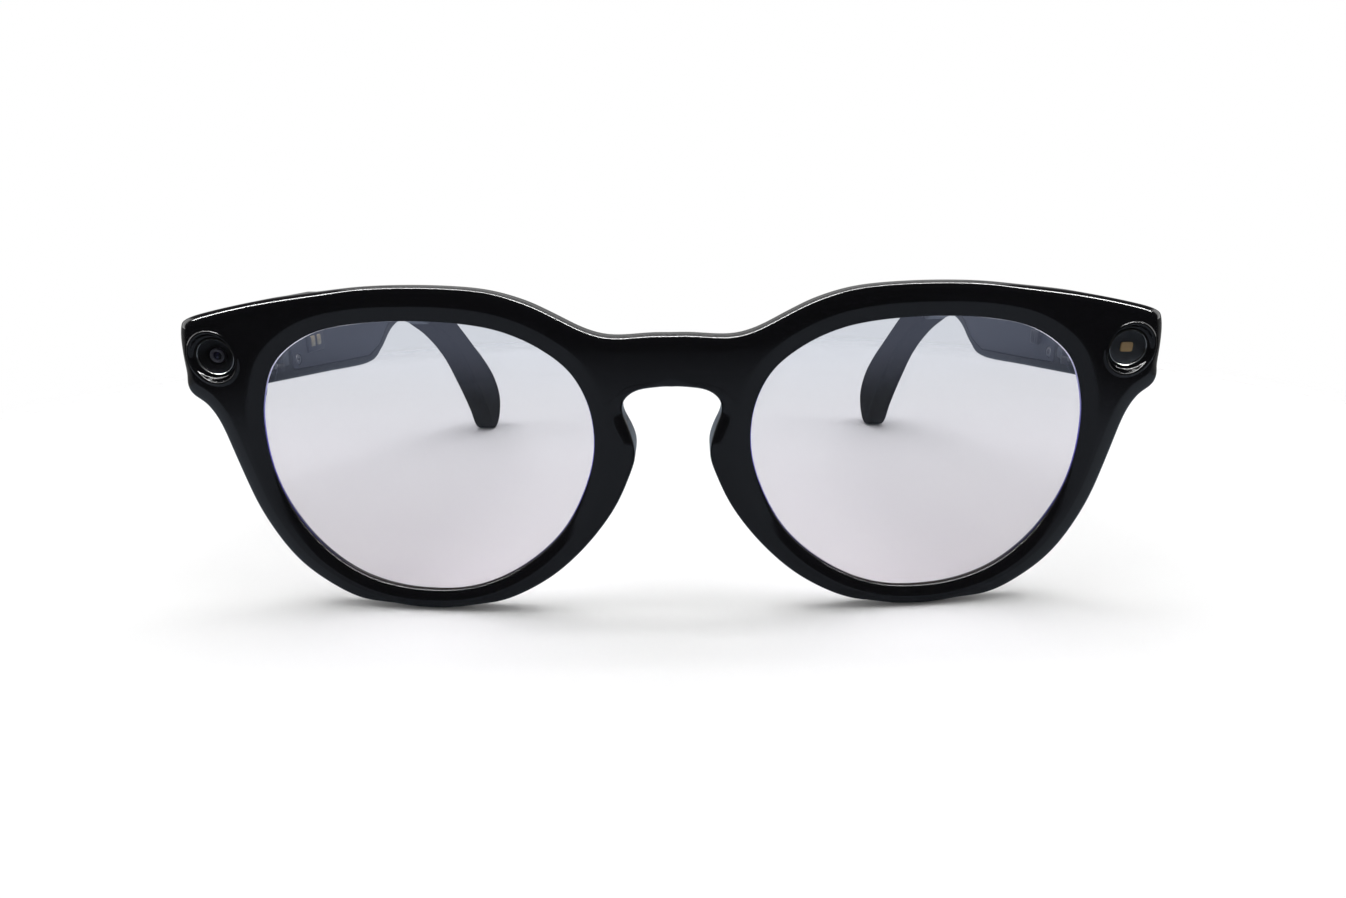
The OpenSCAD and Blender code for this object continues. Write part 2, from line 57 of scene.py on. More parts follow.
def put(made, **values):
    """Sets a node's sockets, each by its name with _ for a space."""
    for name, value in values.items():
        made.inputs[name.replace("_", " ")].default_value = value


def join(tree, *ends):
    for source, target in ends:
        tree.links.new(source, target)


def add_light(name, place, target, size, power, colour=(1, 1, 1)):
    lamp = bpy.data.lights.new(name, "AREA")
    lamp.shape = "RECTANGLE"
    lamp.size, lamp.size_y = size
    lamp.energy = power
    lamp.color = colour
    holder = bpy.data.objects.new(name, lamp)
    bpy.context.scene.collection.objects.link(holder)
    holder.location = place
    holder.rotation_euler = (Vector(target) - Vector(place)).to_track_quat("-Z", "Y").to_euler()
    return holder


def make_diodes(holder, rows, columns):
    """Breaks an area light up into rows of small bright diodes behind a weak diffuser."""
    lamp = holder.data
    lamp.use_nodes = True
    tree = lamp.node_tree
    tree.nodes.clear()
    out = node(tree, "OutputLight")
    glow = node(tree, "Emission")
    spot = node(tree, "NewGeometry")
    split = node(tree, "SeparateXYZ")
    lit = node(tree, "Math", operation="MULTIPLY")
    level = node(tree, "MapRange")
    put(level, To_Min=0.45, To_Max=3.2)
    join(tree, (spot.outputs["Parametric"], split.inputs["Vector"]),
         (lit.outputs["Value"], level.inputs["Value"]),
         (level.outputs["Result"], glow.inputs["Strength"]),
         (glow.outputs["Emission"], out.inputs["Surface"]))
    for i, (axis, count) in enumerate((("X", columns), ("Y", rows))):
        times = node(tree, "Math", operation="MULTIPLY")
        times.inputs[1].default_value = count
        part = node(tree, "Math", operation="FRACT")
        on = node(tree, "Math", operation="LESS_THAN")
        on.inputs[1].default_value = 0.45
        join(tree, (split.outputs[axis], times.inputs[0]), (times.outputs["Value"], part.inputs[0]),
             (part.outputs["Value"], on.inputs[0]), (on.outputs["Value"], lit.inputs[i]))


def make_room():
    world = bpy.data.worlds.new("studio")
    bpy.context.scene.world = world
    world.use_nodes = True
    tree = world.node_tree
    tree.nodes.clear()
    out = node(tree, "OutputWorld")
    seen = node(tree, "Background")
    put(seen, Color=(1, 1, 1, 1))
    lit = node(tree, "Background")
    mix = node(tree, "MixShader")
    ray = node(tree, "LightPath")
    place = node(tree, "TexCoord")
    split = node(tree, "SeparateXYZ")
    ramp = node(tree, "MapRange", interpolation_type="SMOOTHSTEP")
    put(ramp, From_Min=-0.35, From_Max=0.75, To_Min=0.03, To_Max=0.42)
    direct = node(tree, "Math", operation="MAXIMUM")
    first = node(tree, "Math", operation="LESS_THAN")
    first.inputs[1].default_value = 0.5
    through = node(tree, "Math", operation="MULTIPLY")
    even = node(tree, "Mix", data_type="FLOAT")
    put(even, B=0.62)
    join(tree, (place.outputs["Generated"], split.inputs["Vector"]),
         (split.outputs["Y"], ramp.inputs["Value"]),
         (ramp.outputs["Result"], even.inputs["A"]),
         (ray.outputs["Is Diffuse Ray"], even.inputs["Factor"]),
         (even.outputs["Result"], lit.inputs["Strength"]),
         (ray.outputs["Is Camera Ray"], direct.inputs[0]),
         (ray.outputs["Glossy Depth"], first.inputs[0]),
         (first.outputs["Value"], through.inputs[0]),
         (ray.outputs["Is Transmission Ray"], through.inputs[1]),
         (through.outputs["Value"], direct.inputs[1]),
         (direct.outputs["Value"], mix.inputs["Fac"]),
         (lit.outputs["Background"], mix.inputs[1]),
         (seen.outputs["Background"], mix.inputs[2]),
         (mix.outputs["Shader"], out.inputs["Surface"]))


def make_table():
    bm = bmesh.new()
    bmesh.ops.create_grid(bm, x_segments=1, y_segments=1, size=0.8)
    bmesh.ops.translate(bm, verts=bm.verts, vec=(0, 0, -0.00005))
    mesh = bpy.data.meshes.new("table_top")
    bm.to_mesh(mesh)
    bm.free()
    table = bpy.data.objects.new("table_top", mesh)
    bpy.context.scene.collection.objects.link(table)
    paint = bpy.data.materials.new("white_table")
    paint.use_nodes = True
    tree = paint.node_tree
    tree.nodes.clear()
    out = node(tree, "OutputMaterial")
    white = node(tree, "BsdfDiffuse")
    clear = node(tree, "BsdfTransparent")
    mix = node(tree, "MixShader")
    ray = node(tree, "LightPath")
    # painted shade: seen in reflections the table turns a dim blue-grey, a painted shadow for the shade on
    # the table in front of the glasses
    reflected_shade_paint = node(tree, "Mix", data_type="RGBA")
    put(reflected_shade_paint, A=(0.93, 0.93, 0.93, 1), B=(0.195, 0.22, 0.255, 1))
    place = node(tree, "TexCoord")
    middle = node(tree, "Mapping")
    put(middle, Location=(0, -0.04, 0))
    far = node(tree, "VectorMath", operation="LENGTH")
    fade = node(tree, "MapRange", interpolation_type="SMOOTHSTEP")
    put(fade, From_Min=0.18, From_Max=0.24)
    reflection_shade_mask = node(tree, "Math", operation="SUBTRACT", use_clamp=True)
    first = node(tree, "Math", operation="LESS_THAN")
    first.inputs[1].default_value = 0.5
    through = node(tree, "Math", operation="MULTIPLY")
    join(tree, (ray.outputs["Is Glossy Ray"], reflection_shade_mask.inputs[0]),
         (ray.outputs["Glossy Depth"], first.inputs[0]),
         (first.outputs["Value"], through.inputs[0]),
         (ray.outputs["Is Transmission Ray"], through.inputs[1]),
         (through.outputs["Value"], reflection_shade_mask.inputs[1]),
         (reflection_shade_mask.outputs["Value"], reflected_shade_paint.inputs["Factor"]),
         (reflected_shade_paint.outputs["Result"], white.inputs["Color"]),
         (place.outputs["Object"], middle.inputs["Vector"]),
         (middle.outputs["Vector"], far.inputs[0]),
         (far.outputs["Value"], fade.inputs["Value"]),
         (fade.outputs["Result"], mix.inputs["Fac"]),
         (white.outputs["BSDF"], mix.inputs[1]),
         (clear.outputs["BSDF"], mix.inputs[2]),
         (mix.outputs["Shader"], out.inputs["Surface"]))
    mesh.materials.append(paint)


def make_camera():
    # an ordinary 24 mm wide view from 13 cm in front, a little above the brow
    lens = bpy.data.cameras.new("view")
    lens.lens = 24
    lens.sensor_width = 36
    lens.clip_start = 0.005
    camera = bpy.data.objects.new("view", lens)
    bpy.context.scene.collection.objects.link(camera)
    distance = 0.1272
    height = 0.0627
    camera.location = (0.0024, front_lo.y - distance, height)
    camera.rotation_euler = (math.radians(90 - 15.0), 0, 0)
    camera.rotation_euler = (camera.rotation_euler.to_matrix()
                             @ Matrix.Rotation(math.radians(-0.577), 3, "Z")).to_euler()
    lens.shift_x = -15.5 / 1346
    bpy.context.scene.camera = camera


make_room()
make_table()
make_camera()
overhead = add_light("overhead", (0, 0.0, 0.65), (0, 0, 0), (0.9, 0.7), 4.05)
strip = add_light("strip", (0, -0.2, 0.42), (0, -0.06, 0.04), (1.6, 0.04), 6.4)
for lamp, rows, columns in ((overhead, 5, 60), (strip, 1, 160)):
    make_diodes(lamp, rows, columns)
strip.visible_diffuse = False
add_light("back", (0, 0.6, 0.4), (0, 0.02, 0.02), (0.6, 0.25), 0.3)
add_light("left", (-0.5, 0.0, 0.16), (0, 0, 0.03), (0.2, 0.25), 0.3)
add_light("right", (0.5, 0.0, 0.16), (0, 0, 0.03), (0.2, 0.25), 0.3)
bpy.context.scene.view_settings.view_transform = "Standard"

# ---- Front ----------------------------------------------------------------------------
# One glossy black moulding: two rims, the brow, the keyhole bridge with its nose pads and
# the two end pieces. It wraps round the face and leans forward. The lenses snap into
# grooves from behind, and the outer edge of the moulding is chamfered and polished.
mm = 0.001
wrap = 380 * mm
lean = math.radians(6)
pivot = 40 * mm
joint_y = front_hi.y
bridge_y = joint_y - 14.6 * mm
rim_t = 4.4 * mm
half_outline = [(0, 45.3), (3, 45.3), (8.5, 45), (12.5, 46), (17, 48.3), (21.5, 50.3),
                (28, 51.5), (38, 51.85), (50, 51.2), (60, 49.8), (68, 48.1), (72.7, 46.7),
                (73.9, 45.2), (74.4, 42), (74.4, 38), (73.6, 35.7), (71.3, 34), (69.3, 30.5),
                (67.5, 23.5), (65.1, 15.5), (60.3, 7.5), (52.7, 2.2), (46, 0.15), (40, -0.4),
                (34, 0.1), (27, 2.1), (20, 6.1), (14.2, 11.6), (9.5, 18), (6.8, 24),
                (5.8, 27.5), (6.3, 30.3), (7.3, 33.3), (7, 35.4), (5, 36.9), (1.5, 37.4),
                (0, 37.4)]
lens_outline = [(63.16, 26), (62.06, 19.34), (59.48, 13.68), (55.9, 9.11), (51.12, 5.53),
                (45.26, 3.54), (38.99, 3.05), (33.02, 3.64), (27.35, 5.73), (21.59, 9.6),
                (16.91, 14.57), (13.53, 21.03), (11.84, 27.49), (12.24, 33.94), (14.72, 39.41),
                (19.1, 43.18), (24.57, 45.67), (30.54, 46.76), (38, 47.06), (45.95, 46.56),
                (53.41, 44.77), (59.58, 40.3), (62.56, 33.45)]
lens_middle = Vector((37.2, 25.3)) * mm


def on_front(x, v, depth=0.0):
    """A point across x, v up the leaning front and depth behind its curved surface."""
    back = wrap - math.sqrt((wrap - depth) ** 2 - x * x)
    return Vector((x, bridge_y + back * math.cos(lean) - (v - pivot) * math.sin(lean),
                   pivot + (v - pivot) * math.cos(lean) + back * math.sin(lean)))


def curve(points, steps, closed):
    """A smooth line through the points, which are in millimetres."""
    n = len(points)
    line = []
    for i in range(n if closed else n - 1):
        around = [i - 1, i, i + 1, i + 2]
        p = [Vector(points[k % n] if closed else points[min(max(k, 0), n - 1)]) * mm
             for k in around]
        for j in range(steps):
            t = j / steps
            line.append(0.5 * (2 * p[1] + (p[2] - p[0]) * t
                               + (2 * p[0] - 5 * p[1] + 4 * p[2] - p[3]) * t * t
                               + (3 * p[1] - p[0] - 3 * p[2] + p[3]) * t ** 3))
    if not closed:
        line.append(Vector(points[-1]) * mm)
    return line


def sideways(line, closed):
    """The unit normal at each point of a clockwise line, pointing out of it."""
    n = len(line)
    normals = []
    for i in range(n):
        a = line[(i - 1) % n] if closed or i else line[i]
        b = line[(i + 1) % n] if closed or i < n - 1 else line[i]
        t = (b - a).normalized()
        normals.append(Vector((-t.y, t.x)))
    return normals


def add_loft(bm, rings, round_trip=False):
    """A skin over closed rings of equal count. Returns the edges of the first and last."""
    across, along = len(rings[0]), len(rings) - (0 if round_trip else 1)
    grid = bmesh.ops.create_grid(bm, x_segments=across, y_segments=along, size=0.5)["verts"]
    ends = ([], [])
    for v in grid:
        i, j = round((v.co.x + 0.5) * across), round((v.co.y + 0.5) * along)
        v.co = rings[j % len(rings)][i % across]
        if j in (0, along):
            ends[j > 0].append(v)
    bmesh.ops.remove_doubles(bm, verts=grid, dist=1e-8)
    return [list({e for v in end if v.is_valid for e in v.link_edges if e.is_boundary
                  and all(o in set(end) for o in e.verts)}) for end in ends]


def finish_piece(name, bm, body, paint=None, smooth=40):
    bmesh.ops.remove_doubles(bm, verts=bm.verts, dist=1e-7)
    bmesh.ops.recalc_face_normals(bm, faces=bm.faces)
    mesh = bpy.data.meshes.new(name)
    bm.to_mesh(mesh)
    bm.free()
    piece = bpy.data.objects.new(name, mesh)
    bpy.context.scene.collection.objects.link(piece)
    mesh.shade_smooth()
    if smooth:
        mesh.set_sharp_from_angle(angle=math.radians(smooth))
    if paint:
        mesh.materials.append(paint)
    if body:
        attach(piece, body)
    return piece


def settle(piece):
    """Applies the piece's modifiers, so that its mesh is the final one."""
    bpy.context.view_layer.update()
    final = piece.evaluated_get(bpy.context.evaluated_depsgraph_get())
    mesh = bpy.data.meshes.new_from_object(final)
    old = piece.data
    piece.modifiers.clear()
    piece.data = mesh
    bpy.data.meshes.remove(old)
    mesh.name = piece.name


def cut(piece, bm, smooth=40):
    """Cuts the closed shapes in bm out of the piece."""
    tool = finish_piece(piece.name + "_tool", bm, None)
    knife = piece.modifiers.new("cut", "BOOLEAN")
    knife.object = tool
    knife.solver = "EXACT"
    knife.use_self = True
    settle(piece)
    bpy.data.meshes.remove(tool.data)
    piece.data.shade_smooth()
    piece.data.set_sharp_from_angle(angle=math.radians(smooth))


def principled(name, colour, roughness, metallic=0.0, **sockets):
    paint = bpy.data.materials.new(name)
    paint.use_nodes = True
    shader = paint.node_tree.nodes["Principled BSDF"]
    put(shader, Base_Color=(*colour, 1), Roughness=roughness, Metallic=metallic, **sockets)
    return paint


def make_grain_group():
    """Fine grain in colour, roughness and height, for every moulded or metal finish."""
    group = bpy.data.node_groups.new("surface_grain", "ShaderNodeTree")
    face = group.interface
    for name, kind, default in (("Color", "NodeSocketColor", (0.5, 0.5, 0.5, 1)),
                                ("Roughness", "NodeSocketFloat", 0.3),
                                ("Scale", "NodeSocketFloat", 900.0),
                                ("Tint", "NodeSocketFloat", 0.1),
                                ("Spread", "NodeSocketFloat", 0.03)):
        made = face.new_socket(name, in_out="INPUT", socket_type=kind)
        made.default_value = default
    for name, kind in (("Color", "NodeSocketColor"), ("Roughness", "NodeSocketFloat"),
                       ("Height", "NodeSocketFloat")):
        face.new_socket(name, in_out="OUTPUT", socket_type=kind)
    given = node(group, "NodeGroupInput")
    result = node(group, "NodeGroupOutput")
    place = node(group, "TexCoord")
    fine = node(group, "TexNoise")
    put(fine, Detail=4)
    broad = node(group, "TexNoise")
    put(broad, Scale=60, Detail=3)
    centred = node(group, "Math", operation="SUBTRACT")
    centred.inputs[1].default_value = 0.5
    spread = node(group, "Math", operation="MULTIPLY")
    rough = node(group, "Math", operation="ADD", use_clamp=True)
    shade = node(group, "Math", operation="MULTIPLY")
    bright = node(group, "Math", operation="ADD")
    bright.inputs[1].default_value = 1
    tint = node(group, "HueSaturation")
    join(group, (place.outputs["Object"], fine.inputs["Vector"]),
         (place.outputs["Object"], broad.inputs["Vector"]),
         (given.outputs["Scale"], fine.inputs["Scale"]),
         (broad.outputs["Fac"], centred.inputs[0]),
         (centred.outputs["Value"], spread.inputs[0]),
         (given.outputs["Spread"], spread.inputs[1]),
         (given.outputs["Roughness"], rough.inputs[0]),
         (spread.outputs["Value"], rough.inputs[1]),
         (centred.outputs["Value"], shade.inputs[0]),
         (given.outputs["Tint"], shade.inputs[1]),
         (shade.outputs["Value"], bright.inputs[0]),
         (bright.outputs["Value"], tint.inputs["Value"]),
         (given.outputs["Color"], tint.inputs["Color"]),
         (tint.outputs["Color"], result.inputs["Color"]),
         (rough.outputs["Value"], result.inputs["Roughness"]),
         (fine.outputs["Fac"], result.inputs["Height"]))
    return group


grain_group = make_grain_group()


def grained(name, colour, roughness, metallic=0.0, scale=900.0, tint=0.15, spread=0.04,
            bump=0.02, depth=0.00002, **sockets):
    """A finish with its own grain: the group gives colour, roughness and height."""
    paint = principled(name, colour, roughness, metallic, **sockets)
    tree = paint.node_tree
    shader = tree.nodes["Principled BSDF"]
    grain = node(tree, "Group", node_tree=grain_group)
    put(grain, Color=(*colour, 1), Roughness=roughness, Scale=scale, Tint=tint, Spread=spread)
    raised = node(tree, "Bump")
    put(raised, Strength=bump, Distance=depth)
    join(tree, (grain.outputs["Color"], shader.inputs["Base Color"]),
         (grain.outputs["Roughness"], shader.inputs["Roughness"]),
         (grain.outputs["Height"], raised.inputs["Height"]),
         (raised.outputs["Normal"], shader.inputs["Normal"]))
    return paint


gloss_black = grained("polished_black", (0.004, 0.004, 0.005), 0.07, scale=250, spread=0.05,
                      bump=0.015, Specular_IOR_Level=0.5)


def stations():
    """Pairs of points round one half: on the outer edge, and on the edge of the lens
    opening, with the way out of each edge. They start at the bottom of the rim."""
    outer = curve(half_outline, 3, False)
    normals = sideways(outer, False)
    normals[0], normals[-1] = Vector((0, 1)), Vector((0, -1))
    for _ in range(2):
        normals = [normals[0]] + [(normals[i - 1] + 2 * normals[i] + normals[i + 1]).normalized()
                                  for i in range(1, len(normals) - 1)] + [normals[-1]]
    seam = [Vector((0, v)) * mm for v in (39.7, 40.8, 41.9, 43.0)]
    outer += seam
    normals += [Vector((0, 0))] * len(seam)
    opening = curve(lens_outline, 24, True)
    out_of = sideways(opening, True)
    turn = []
    for p in outer:
        a = -math.atan2(p.y - lens_middle.y, p.x - lens_middle.x)
        while turn and a < turn[-1] - math.pi:
            a += 2 * math.pi
        while turn and a > turn[-1] + math.pi:
            a -= 2 * math.pi
        turn.append(max(a, turn[-1] + 0.004) if turn else a)
    n = len(turn)
    whole = 2 * math.pi
    if turn[-1] > turn[0] + whole - 0.01:
        scale = (whole - 0.02) / (turn[-1] - turn[0])
        turn = [turn[0] + (t - turn[0]) * scale for t in turn]
    for _ in range(6):
        turn = [(turn[i - 1] - (whole if i == 0 else 0) + 2 * turn[i]
                 + turn[(i + 1) % n] + (whole if i == n - 1 else 0)) / 4 for i in range(n)]
    angles = [-math.atan2(p.y - lens_middle.y, p.x - lens_middle.x) for p in opening]
    pairs = []
    for p, out, t in zip(outer, normals, turn):
        k = min(range(len(opening)), key=lambda i: abs((angles[i] - t + math.pi) % whole - math.pi))
        # slide between the two nearest points of the opening
        step = (angles[(k + 1) % len(opening)] - angles[k] + math.pi) % whole - math.pi
        off = (t - angles[k] + math.pi) % whole - math.pi
        q = opening[k].lerp(opening[(k + 1) % len(opening)], off / step) if off >= 0 else \
            opening[k].lerp(opening[k - 1], min(1, -off / abs(step)))
        pairs.append((p, out, q, out_of[k]))
    start = min(range(n), key=lambda i: (pairs[i][0] - Vector((40, -0.4)) * mm).length)
    return pairs[start:] + pairs[:start]


def bump_between(x, low, high, soft):
    """1 between low and high, falling smoothly to 0 over soft on each side."""
    up = min(1, max(0, (x - low + soft) / soft))
    down = min(1, max(0, (high + soft - x) / soft))
    t = min(up, down)
    return t * t * (3 - 2 * t)


def rear_depth(p):
    """How far behind the surface the outer edge ends: deep at the end pieces, where the
    temples join, and on the nose pads."""
    end = bump_between(p.x, 63.5 * mm, 90 * mm, 2 * mm) * bump_between(p.y, 37 * mm, 60 * mm, 2.5 * mm)
    pad = bump_between(p.y, 19 * mm, 26 * mm, 9 * mm) * bump_between(p.x, -20 * mm, 10 * mm, 6 * mm)
    back = (joint_y - 0.02 * mm - bridge_y + (p.y - pivot) * math.sin(lean)) / math.cos(lean)
    deep = wrap - math.hypot(min(p.x, 71 * mm), wrap - back)
    return rim_t + (deep - rim_t) * end + 4.6 * mm * pad, end, pad


end_side = 71.7 * mm
block_inside = 61.8 * mm
block_fall = 2.4 * mm


def full_side(p):
    """How far the side wall swells beyond the edge of the face, down the rims."""
    outer = bump_between(p.x, 53 * mm, 90 * mm, 8 * mm) * bump_between(p.y, -20 * mm, 35.5 * mm, 3 * mm)
    inner = bump_between(p.x, -20 * mm, 28 * mm, 4 * mm) * bump_between(p.y, -20 * mm, 25 * mm, 4 * mm)
    brow = bump_between(p.x, 28 * mm, 44 * mm, 8 * mm) * bump_between(p.y, 47 * mm, 60 * mm, 3 * mm)
    return (0.02 + 1.15 * outer + 0.45 * inner + 0.35 * brow) * mm


def make_front():
    rows = [[] for _ in range(20)]
    for p, out, q, away in stations():
        width = (p - q).length
        edge = 0.28 * min(width, 4.3 * mm)
        band = 0.5 * min(width, 4.9 * mm)
        deep, end, pad = rear_depth(p)
        seam = out.length == 0
        block = max(0.5, min(0.85, (p.x - block_inside) / max(p.x - q.x, mm)))
        inner = 0.3 if seam else block * end + 0.5 * (1 - end)
        rounding = 0.5 * mm + 0.8 * mm * pad
        crown = bump_between(p.y, 40 * mm, 60 * mm, 2 * mm) * (1 - end) * mm

        def tapered(point, depth):
            limit = end_side if end > 0.5 else 1.0
            t = min(1, max(0, (depth - 1.4 * mm) / (deep - 1.4 * mm)))
            x = min(point.x, point.x + (min(point.x, limit) - point.x) * t)
            sink = block_fall * end * bump_between(point.y, 44.5 * mm, 60 * mm, 3 * mm)
            return on_front(x, point.y - sink * t, depth)
        side = p + out * full_side(p)
        if side.y < 0.2 * mm:
            side.y = max(side.y, p.y)
        chamfer = p - out * edge
        shoulder = p - out * edge * 1.3
        lip = q + away * band
        rear_in = p.lerp(q, inner)
        rear_step = p.lerp(q, inner + 0.1)
        places = [
            tapered(side - out * (rounding + 0.8 * crown), deep),
            tapered(side - out * (rounding * 0.25 + 0.65 * crown), deep - rounding * 0.2),
            tapered(side - out * 0.4 * crown, deep - rounding),
            tapered(side - out * 0.12 * crown, 0.5 * (deep + 1.2 * mm)),
            tapered(side, 1.3 * mm), on_front(*(side - out * 0.06 * mm), 0.9 * mm),
            on_front(*(side.lerp(chamfer, 0.5)), 0.42 * mm), on_front(*chamfer, 0.1 * mm),
            on_front(*shoulder, 0), on_front(*shoulder.lerp(lip, 0.33), 0),
            on_front(*shoulder.lerp(lip, 0.67), 0), on_front(*lip, 0),
            on_front(*(q + away * band * 0.86), 0.06 * mm), on_front(*(q + away * band * 0.2), 0.62 * mm),
            on_front(*(q + away * 0.08 * mm), 0.85 * mm), on_front(*q, 1.15 * mm),
            on_front(*(q + away * 0.9 * mm), 3.9 * mm), on_front(*(q + away * 1.3 * mm), rim_t),
            on_front(*rear_step, rim_t), on_front(*rear_in, deep - 0.3 * mm * (end + pad))]
        for row, place in zip(rows, places):
            row.append(place)
    bm = bmesh.new()
    add_loft(bm, rows, round_trip=True)
    bmesh.ops.remove_doubles(bm, verts=bm.verts, dist=1e-7)
    wall = [f for f in bm.faces if all(abs(v.co.x) < 1e-6 for v in f.verts)]
    bmesh.ops.delete(bm, geom=wall, context="FACES")
    bmesh.ops.mirror(bm, geom=bm.verts[:] + bm.edges[:] + bm.faces[:], axis="X", merge_dist=2e-6)
    front = finish_piece("front_moulding", bm, "front", gloss_black, smooth=0)
    soft = front.modifiers.new("round", "SUBSURF")
    soft.levels = soft.render_levels = 2
    settle(front)
    return front


def mirror_all(bm):
    bmesh.ops.mirror(bm, geom=bm.verts[:] + bm.edges[:] + bm.faces[:], axis="X", merge_dist=0)
    bmesh.ops.recalc_face_normals(bm, faces=bm.faces)


def add_box(bm, lo, hi):
    lo, hi = Vector(lo), Vector(hi)
    size = Matrix.Diagonal((*(hi - lo), 1))
    return bmesh.ops.create_cube(bm, size=1, matrix=Matrix.Translation((lo + hi) / 2) @ size)["verts"]


pod = Vector((69.0, 41.0)) * mm
pod_hole = 4.5 * mm


def along_front(x, v, back):
    """A point at a straight distance back from the bridge, along the lean of the front."""
    return Vector((x, bridge_y + back * math.cos(lean) - (v - pivot) * math.sin(lean),
                   pivot + (v - pivot) * math.cos(lean) + back * math.sin(lean)))


def pod_circle(radius, back, count=96):
    return [along_front(pod.x + radius * math.cos(a), pod.y + radius * math.sin(a), back)
            for a in (2 * math.pi * i / count for i in range(count))]


def add_cylinder(bm, place, radius, length, segments, turn=Matrix()):
    return bmesh.ops.create_cone(bm, cap_ends=True, segments=segments, radius1=radius, radius2=radius,
                                 depth=length, matrix=Matrix.Translation(place) @ turn)["verts"]


front = make_front()
bm = bmesh.new()
rings = add_loft(bm, [pod_circle(pod_hole, 3 * mm), pod_circle(pod_hole, 9.4 * mm)])
bmesh.ops.holes_fill(bm, edges=bm.edges[:], sides=0)
cover_lo, cover_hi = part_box("end_cover_left")
add_box(bm, cover_lo - Vector((0.1, 2.4, 0.1)) * mm, cover_hi + Vector((0.1, 3, 0.1)) * mm)
leaf_lo, leaf_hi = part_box("front_leaf_left")
axle_lo, axle_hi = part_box("hinge_screw_left")
axle = (axle_lo + axle_hi) / 2
barrel_room = 1.8 * mm
add_box(bm, (axle.x - 0.65 * mm, leaf_lo.y - 0.1 * mm, leaf_lo.z - 0.1 * mm),
        (axle.x + 0.65 * mm, joint_y + 1 * mm, leaf_hi.z + 0.1 * mm))
add_cylinder(bm, axle, barrel_room, leaf_hi.z - leaf_lo.z + 0.4 * mm, 48)
mirror_all(bm)
cut(front, bm, smooth=35)
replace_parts(front, "front_frame")

# ---- Lenses ---------------------------------------------------------------------------
# Clear lenses with a faint lavender filter tint that turns rosy towards the bottom. Their
# ground edges sit in the grooves of the rims.
def let_light_in(glass, colour):
    """Light falls through the glass on to what lies behind it."""
    tree = glass.node_tree
    passing = node(tree, "BsdfTransparent")
    put(passing, Color=(*colour, 1))
    ray = node(tree, "LightPath")
    mix = node(tree, "MixShader")
    join(tree, (ray.outputs["Is Shadow Ray"], mix.inputs["Fac"]),
         (tree.nodes["Principled BSDF"].outputs["BSDF"], mix.inputs[1]),
         (passing.outputs["BSDF"], mix.inputs[2]),
         (mix.outputs["Shader"], tree.nodes["Material Output"].inputs["Surface"]))
    return glass


def make_lens_glass():
    glass = principled("tinted_lens", (0.9, 0.9, 0.96), 0.0, Transmission_Weight=1.0, IOR=1.5,
                       Specular_IOR_Level=0.1)
    tree = glass.node_tree
    shader = tree.nodes["Principled BSDF"]
    place = node(tree, "TexCoord")
    split = node(tree, "SeparateXYZ")
    fade = node(tree, "MapRange")
    put(fade, From_Min=0.0, From_Max=0.045)
    tint = node(tree, "ValToRGB")
    tint.color_ramp.elements[0].color = (0.673, 0.634, 0.668, 1)
    tint.color_ramp.elements[1].color = (0.628, 0.651, 0.69, 1)
    tint.color_ramp.elements.new(0.6).color = (0.697, 0.686, 0.73, 1)
    # painted reflection: under the brow the lens glows faintly blue-violet, a painted glow standing for the
    # reflection in its anti-reflection coating
    painted_veil_glow = node(tree, "MapRange", interpolation_type="SMOOTHSTEP")
    put(painted_veil_glow, From_Min=0.034, From_Max=0.045, To_Max=0.032)
    put(shader, Emission_Color=(0.85, 0.95, 1.3, 1))
    join(tree, (place.outputs["Object"], split.inputs["Vector"]),
         (split.outputs["Z"], fade.inputs["Value"]),
         (fade.outputs["Result"], tint.inputs["Fac"]),
         (split.outputs["Z"], painted_veil_glow.inputs["Value"]),
         (painted_veil_glow.outputs["Result"], shader.inputs["Emission Strength"]),
         (tint.outputs["Color"], shader.inputs["Base Color"]))
    return let_light_in(glass, (0.93, 0.93, 0.97))


lens_glass = make_lens_glass()


def make_lens(side, name):
    edge = curve(lens_outline, 6, True)
    out = sideways(edge, True)
    groove = 0.6 * mm
    lens_front, lens_back = 1.45 * mm, 3.15 * mm
    rings = []
    count = 10
    for depth, order in ((lens_front, range(1, count + 1)), (lens_back, range(count, 0, -1))):
        for k in order:
            rings.append([on_front(*lens_middle.lerp(p + n * groove, k / count), depth)
                          for p, n in zip(edge, out)])
    bm = bmesh.new()
    edges = add_loft(bm, rings)
    for ring in (edges[0], edges[-1]):
        middle = sum((e.verts[0].co for e in ring), Vector()) / len(ring)
        hub = bmesh.ops.extrude_edge_only(bm, edges=ring)["geom"]
        bmesh.ops.pointmerge(bm, verts=[v for v in hub if isinstance(v, bmesh.types.BMVert)], merge_co=middle)
    bmesh.ops.scale(bm, vec=(side, 1, 1), verts=bm.verts)
    piece = finish_piece(name, bm, "front", lens_glass, smooth=30)
    return piece


